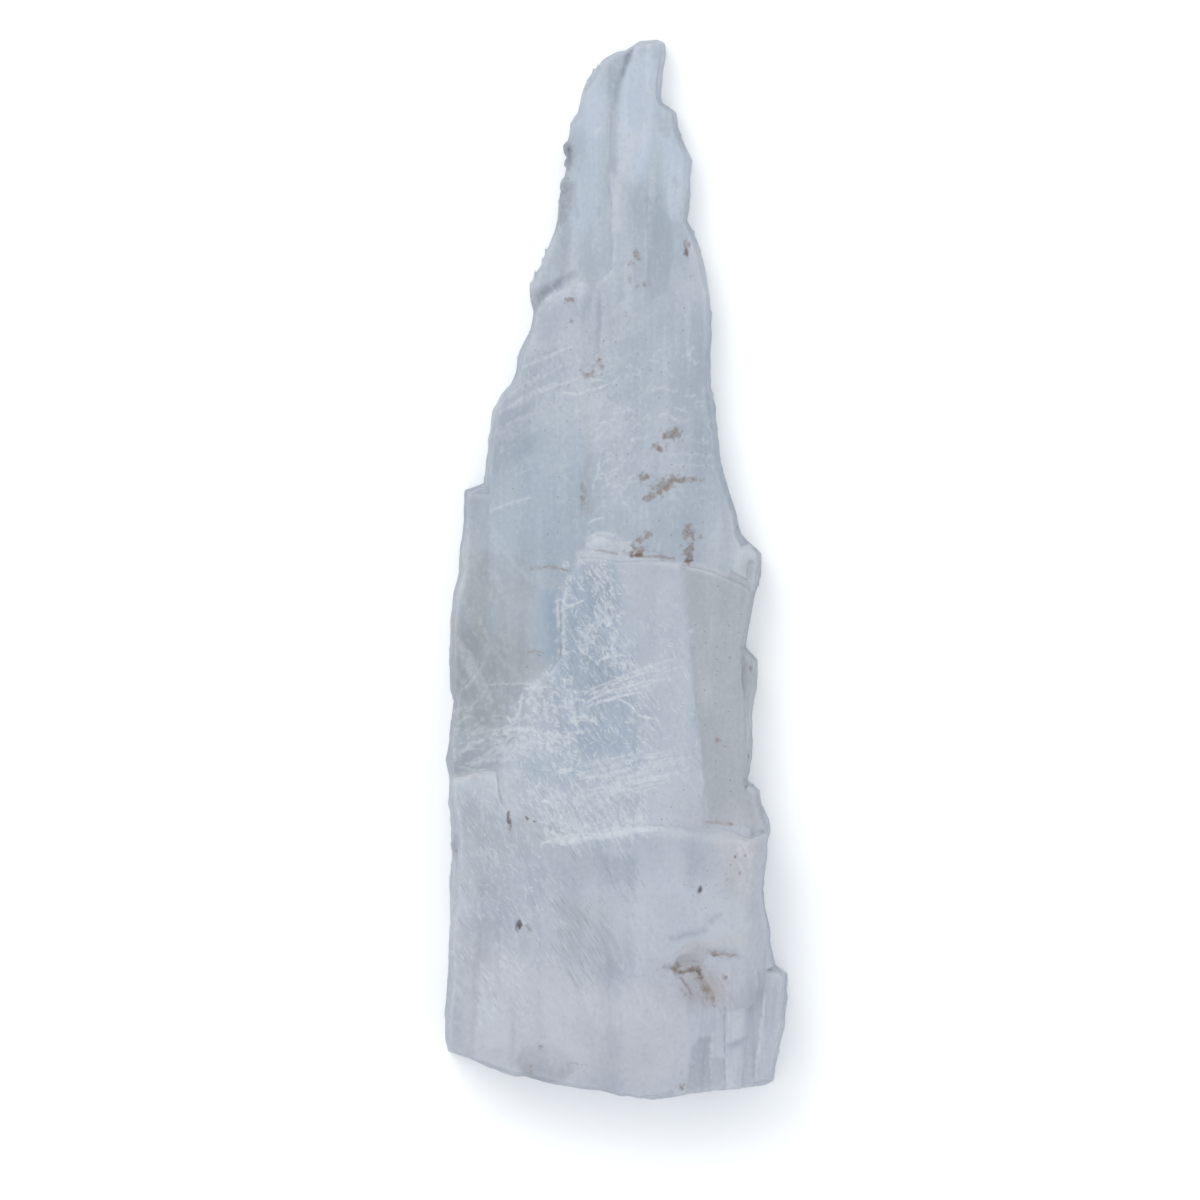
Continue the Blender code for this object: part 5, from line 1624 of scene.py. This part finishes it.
@dataclass(frozen=True)
class SeleniteFinish:
    """Clear gypsum: see-through, milky, pale blue in depth, dull where it is fractured."""

    transmission: float = 0.55
    ior: float = 1.52
    roughness: float = 0.46
    fracture_roughness: float = 0.3     # what bright lines add to the roughness
    dirt_roughness: float = 0.3         # and what mud adds
    depth_tint: tuple[float, float, float, float] = (0.62, 0.74, 0.86, 1.0)
    depth_density: float = 8.0
    bright_line: float = 0.75
    dark_line: float = 0.45
    brown_line: float = 0.75
    thread: float = 0.6
    worn_edge: float = 0.2
    # painted shade: how dark the creases are made
    painted_crease_shade: float = 0.12
    # painted light and fresh fracture: how far the walls are lightened towards frost
    frost_and_light_on_walls: float = 0.12
    wall_layer: float = 0.4
    bend_size: float = 4.0          # mm between the bends of the bright flecks
    fleck_bend: float = 1.1         # how far they bend, as a share of that
    bright_fleck: float = 0.55
    dark_fleck: float = 0.46
    specks: Flecks = Flecks(0, 3.2, 3.2, 0.09, 0.8)
    bright_flecks: tuple[Flecks, ...] = (Flecks(-38, 2.8, 0.9, 0.3, 1.0),
                                         Flecks(-70, 3.6, 0.8, 0.28, 0.9))
    dark_flecks: Flecks = Flecks(-58, 9.0, 0.7, 0.25, 0.9)

    def material(self) -> bpy.types.Material:
        """Build the material.

        Returns:
            The material, which reads Object coordinates and the piece's colour maps.
        """
        material = bpy.data.materials.new("selenite")
        material.use_nodes = True
        material.node_tree.nodes.clear()
        wiring = Wiring(material.node_tree)
        place = wiring.vector("SCALE", wiring.add("ShaderNodeTexCoord").outputs["Object"],
                              1.0 / MM)
        maps = {chart: wiring.add("ShaderNodeVertexColor", layer_name=chart.value).outputs[0]
                for chart in Chart}
        mottle = wiring.noise(place, (1.0, 1.4, 1.0), 2.0)
        canvas = Canvas(wiring, place, mottle, maps, flecks_group())
        colour = self.flakes(canvas, self.threads(canvas, self.stone(canvas)))
        colour, fractured = self.lines(canvas, colour)
        colour, dirty = self.dirt(canvas, colour)
        rough = wiring.maths("MULTIPLY_ADD", fractured, self.fracture_roughness,
                             self.roughness)
        rough = wiring.maths("MULTIPLY_ADD", dirty, self.dirt_roughness, rough)
        bump = wiring.add("ShaderNodeBump", {"Height": self.height(canvas), "Distance": MM})
        shader = wiring.add("ShaderNodeBsdfPrincipled", {
            "Base Color": colour, "Roughness": rough, "Normal": bump.outputs[0],
            "IOR": self.ior, "Transmission Weight": self.transmission,
        })
        depth = wiring.add("ShaderNodeVolumeAbsorption", {
            "Color": self.depth_tint, "Density": self.depth_density,
        })
        wiring.add("ShaderNodeOutputMaterial", {
            "Surface": shader.outputs[0], "Volume": depth.outputs[0],
        })
        return material

    def stone(self, canvas: Canvas) -> Socket:
        """The colour of the clear stone: veils, lengthwise lines, worn edges, painted light on the
        walls and painted shade in the creases.

        Args:
            canvas: what the layers of the finish share.

        Returns:
            The colour.
        """
        wiring, place = canvas.wiring, canvas.place
        edges, creases, walls = canvas.channels(Chart.WEAR_AND_SHADE)
        colour = canvas.maps[Chart.TONE]
        clouds = wiring.noise(place, (16.0, 26.0, 18.0), 2.0)
        lengthwise = wiring.noise(place, (4.0, 60.0, 12.0), 1.0)
        for pattern, strength in ((clouds, 0.4), (lengthwise, 0.16), (canvas.mottle, 0.25)):
            pale = wiring.step(pattern, 0.5, 0.75, 0.0, strength)
            dim = wiring.step(pattern, 0.5, 0.25, 0.0, strength * 0.8)
            colour = canvas.laid(canvas.laid(colour, Tint.PALE, pale), Tint.SHADE, dim)
        # painted light: the walls, which take less light, are lightened towards frost, which also
        # stands for fresh fracture
        colour = canvas.laid(colour, Tint.FROST, walls, self.frost_and_light_on_walls)
        layers = wiring.noise(place, (22.0, 30.0, 0.9), 1.0)
        for tint, end in ((Tint.FROST, 0.72), (Tint.BLUE, 0.28)):
            layer = wiring.step(layers, 0.5, end)
            colour = canvas.laid(colour, tint, layer, walls, self.wall_layer)
        worn = wiring.step(clouds, 0.35, 0.6)
        colour = canvas.laid(colour, Tint.FROST, edges, worn, self.worn_edge)
        # painted shade: the creases are darkened
        return canvas.laid(colour, Tint.SHADE, creases, self.painted_crease_shade)

    def threads(self, canvas: Canvas, colour: Socket) -> Socket:
        """Hair-fine pale and dim threads, in the two ways that they run.

        Args:
            canvas: what the layers of the finish share.
            colour: the colour so far.

        Returns:
            The colour.
        """
        wiring, place = canvas.wiring, canvas.place
        aslant, lengthwise, _ = canvas.channels(Chart.FIBRE)
        gaps = wiring.step(wiring.noise(place, (5.0, 7.0, 5.0), 1.0), 0.35, 0.65)
        broken = wiring.product(wiring.step(canvas.mottle, 0.3, 0.6), gaps)
        for zone, heading, sizes in ((aslant, 56.0, (3.6, 0.5, 4.0)),
                                     (lengthwise, -90.0, (18.0, 0.9, 9.0))):
            pattern = wiring.noise(wiring.rotated(place, math.radians(heading)), sizes, 1.0)
            pale, dim = (wiring.product(wiring.step(pattern, 0.5, end), zone, broken,
                                        self.thread) for end in (0.68, 0.3))
            colour = canvas.laid(canvas.laid(colour, Tint.FROST, pale), Tint.BLUE, dim, 0.7)
        return colour

    def flakes(self, canvas: Canvas, colour: Socket) -> Socket:
        """Short crisp flecks: bright ones in the feathered areas, dark hairs in the cut ones.

        Args:
            canvas: what the layers of the finish share.
            colour: the colour so far.

        Returns:
            The colour.
        """
        wiring, place = canvas.wiring, canvas.place
        bend = wiring.vector("SCALE", place, 1.0 / self.bend_size)
        bend = wiring.add("ShaderNodeTexNoise", {"Vector": bend, "Scale": 1.0, "Detail": 1.0})
        bend = wiring.vector("SUBTRACT", bend.outputs["Color"], (0.5, 0.5, 0.5))
        bend = wiring.vector("SCALE", bend, self.bend_size * self.fleck_bend)
        bent = wiring.vector("ADD", place, bend)
        hairs = canvas.channels(Chart.FIBRE)[2]
        dark = self.dark_flecks.mask(canvas, place, hairs)
        colour = canvas.laid(colour, Tint.HATCH, dark, self.dark_fleck)
        feathered = canvas.channels(Chart.FLAKES)[0]
        for layer in self.bright_flecks:
            mask = layer.mask(canvas, bent, feathered)
            colour = canvas.laid(colour, Tint.FROST, mask, self.bright_fleck)
        return colour

    def lines(self, canvas: Canvas, colour: Socket) -> tuple[Socket, Socket]:
        """The fine lines over the stone.

        Args:
            canvas: what the layers of the finish share.
            colour: the colour so far.

        Returns:
            The colour, and how fractured the surface is.
        """
        channels = canvas.channels(Chart.MARKS)
        broken = canvas.wiring.step(canvas.mottle, 0.25, 0.6, 0.4, 1.1)
        for mark, tint, amount in ((Mark.DARK, Tint.HATCH, self.dark_line),
                                   (Mark.BRIGHT, Tint.FROST, self.bright_line),
                                   (Mark.BROWN, Tint.RUST, self.brown_line)):
            colour = canvas.laid(colour, tint, channels[mark.value], broken, amount)
        return colour, channels[Mark.BRIGHT.value]

    def dirt(self, canvas: Canvas, colour: Socket) -> tuple[Socket, Socket]:
        """Stains, mud and specks.

        Args:
            canvas: what the layers of the finish share.
            colour: the colour so far.

        Returns:
            The colour, and how dirty the surface is.
        """
        wiring = canvas.wiring
        stained, muddy, specked = canvas.channels(Chart.DIRT)
        swing = wiring.maths("SUBTRACT", wiring.noise(canvas.place, (1.5, 1.5, 1.5), 2.0), 0.5)
        stain = wiring.step(wiring.maths("MULTIPLY_ADD", swing, 1.4, stained), 0.34, 0.8)
        mud = wiring.step(wiring.maths("MULTIPLY_ADD", swing, 1.1, muddy), 0.42, 0.78)
        specks = self.specks.mask(canvas, canvas.place, specked)
        thick = wiring.step(canvas.mottle, 0.35, 0.65, 0.55, 0.95)
        for mask, tint, amount in ((stain, Tint.STAIN, thick), (mud, Tint.MUD, 0.85),
                                   (specks, Tint.MUD, 0.55)):
            colour = canvas.laid(colour, tint, mask, amount)
        return colour, wiring.maths("MAXIMUM", stain, mud)

    def height(self, canvas: Canvas) -> Socket:
        """The fine height: thin layers on the walls and a slight grain all over.

        Args:
            canvas: what the layers of the finish share.

        Returns:
            The height in mm.
        """
        wiring, place = canvas.wiring, canvas.place
        walls = canvas.channels(Chart.WEAR_AND_SHADE)[2]
        layers = wiring.noise(place, (14.0, 14.0, 0.45), 1.0)
        grain = wiring.noise(place, (0.8, 1.6, 0.8), 0.0)
        return wiring.total(wiring.product(layers, walls, 0.3), wiring.product(grain, 0.05))


# ---- the studio -------------------------------------------------------------------------


@dataclass(frozen=True)
class Studio:
    """A pale floor, soft daylight and a camera that looks straight down."""

    view_centre: Point = (-4.67, -8.63)     # mm
    view_width: float = 339.4               # mm across the frame, at the view height
    view_height: float = 5.0                # mm over the floor
    lens: float = 250.0
    sensor: float = 36.0
    floor_size: float = 4.0                 # m
    floor_drop: float = 0.2                 # mm under the slab
    floor_colour: tuple[float, float, float, float] = (0.9, 0.905, 0.91, 1.0)
    sky_colour: tuple[float, float, float, float] = (0.94, 0.97, 1.0, 1.0)
    sky_strength: float = 1.13
    key_place: tuple[float, float, float] = (-0.75, 0.95, 1.25)
    key_size: float = 1.1
    key_power: float = 11.0

    def floor(self) -> None:
        """The pale floor, just under the slab."""
        half = self.floor_size / 2
        corners = ((-half, -half), (half, -half), (half, half), (-half, half))
        mesh = bpy.data.meshes.new("floor")
        mesh.from_pydata([(x, y, -self.floor_drop * MM) for x, y in corners], [],
                         [(0, 1, 2, 3)])
        material = bpy.data.materials.new("floor")
        material.use_nodes = True
        shader = material.node_tree.nodes["Principled BSDF"]
        shader.inputs["Base Color"].default_value = self.floor_colour
        shader.inputs["Roughness"].default_value = 0.9
        mesh.materials.append(material)
        shown(mesh, "floor")

    def light(self) -> None:
        """A pale sky and one large soft lamp, high at the upper left."""
        world = bpy.data.worlds.new("sky")
        world.use_nodes = True
        sky = world.node_tree.nodes["Background"]
        sky.inputs["Color"].default_value = self.sky_colour
        sky.inputs["Strength"].default_value = self.sky_strength
        bpy.context.scene.world = world
        lamp = bpy.data.lights.new("key", "AREA")
        lamp.energy = self.key_power
        lamp.size = self.key_size
        holder = bpy.data.objects.new("key", lamp)
        holder.location = self.key_place
        holder.rotation_euler = (-Vector(self.key_place)).to_track_quat("-Z", "Y").to_euler()
        bpy.context.scene.collection.objects.link(holder)

    def camera(self) -> None:
        """The camera over the slab, with the tip at the top of the frame."""
        data = bpy.data.cameras.new("camera")
        data.lens = self.lens
        data.sensor_width = self.sensor
        holder = bpy.data.objects.new("camera", data)
        x, y = self.view_centre
        distance = self.view_width * self.lens / self.sensor
        holder.location = (x * MM, y * MM, (self.view_height + distance) * MM)
        bpy.context.scene.collection.objects.link(holder)
        bpy.context.scene.camera = holder

    def build(self) -> None:
        """Set up the floor, the light, the camera and plain colour handling."""
        self.floor()
        self.light()
        self.camera()
        bpy.context.scene.view_settings.view_transform = "Standard"


def main() -> None:
    """Build the slab and the studio in order."""
    logging.basicConfig(level=logging.INFO, format="%(name)s: %(message)s")
    Slab().build(SeleniteFinish().material())
    Studio().build()


if __name__ == "__main__":
    main()
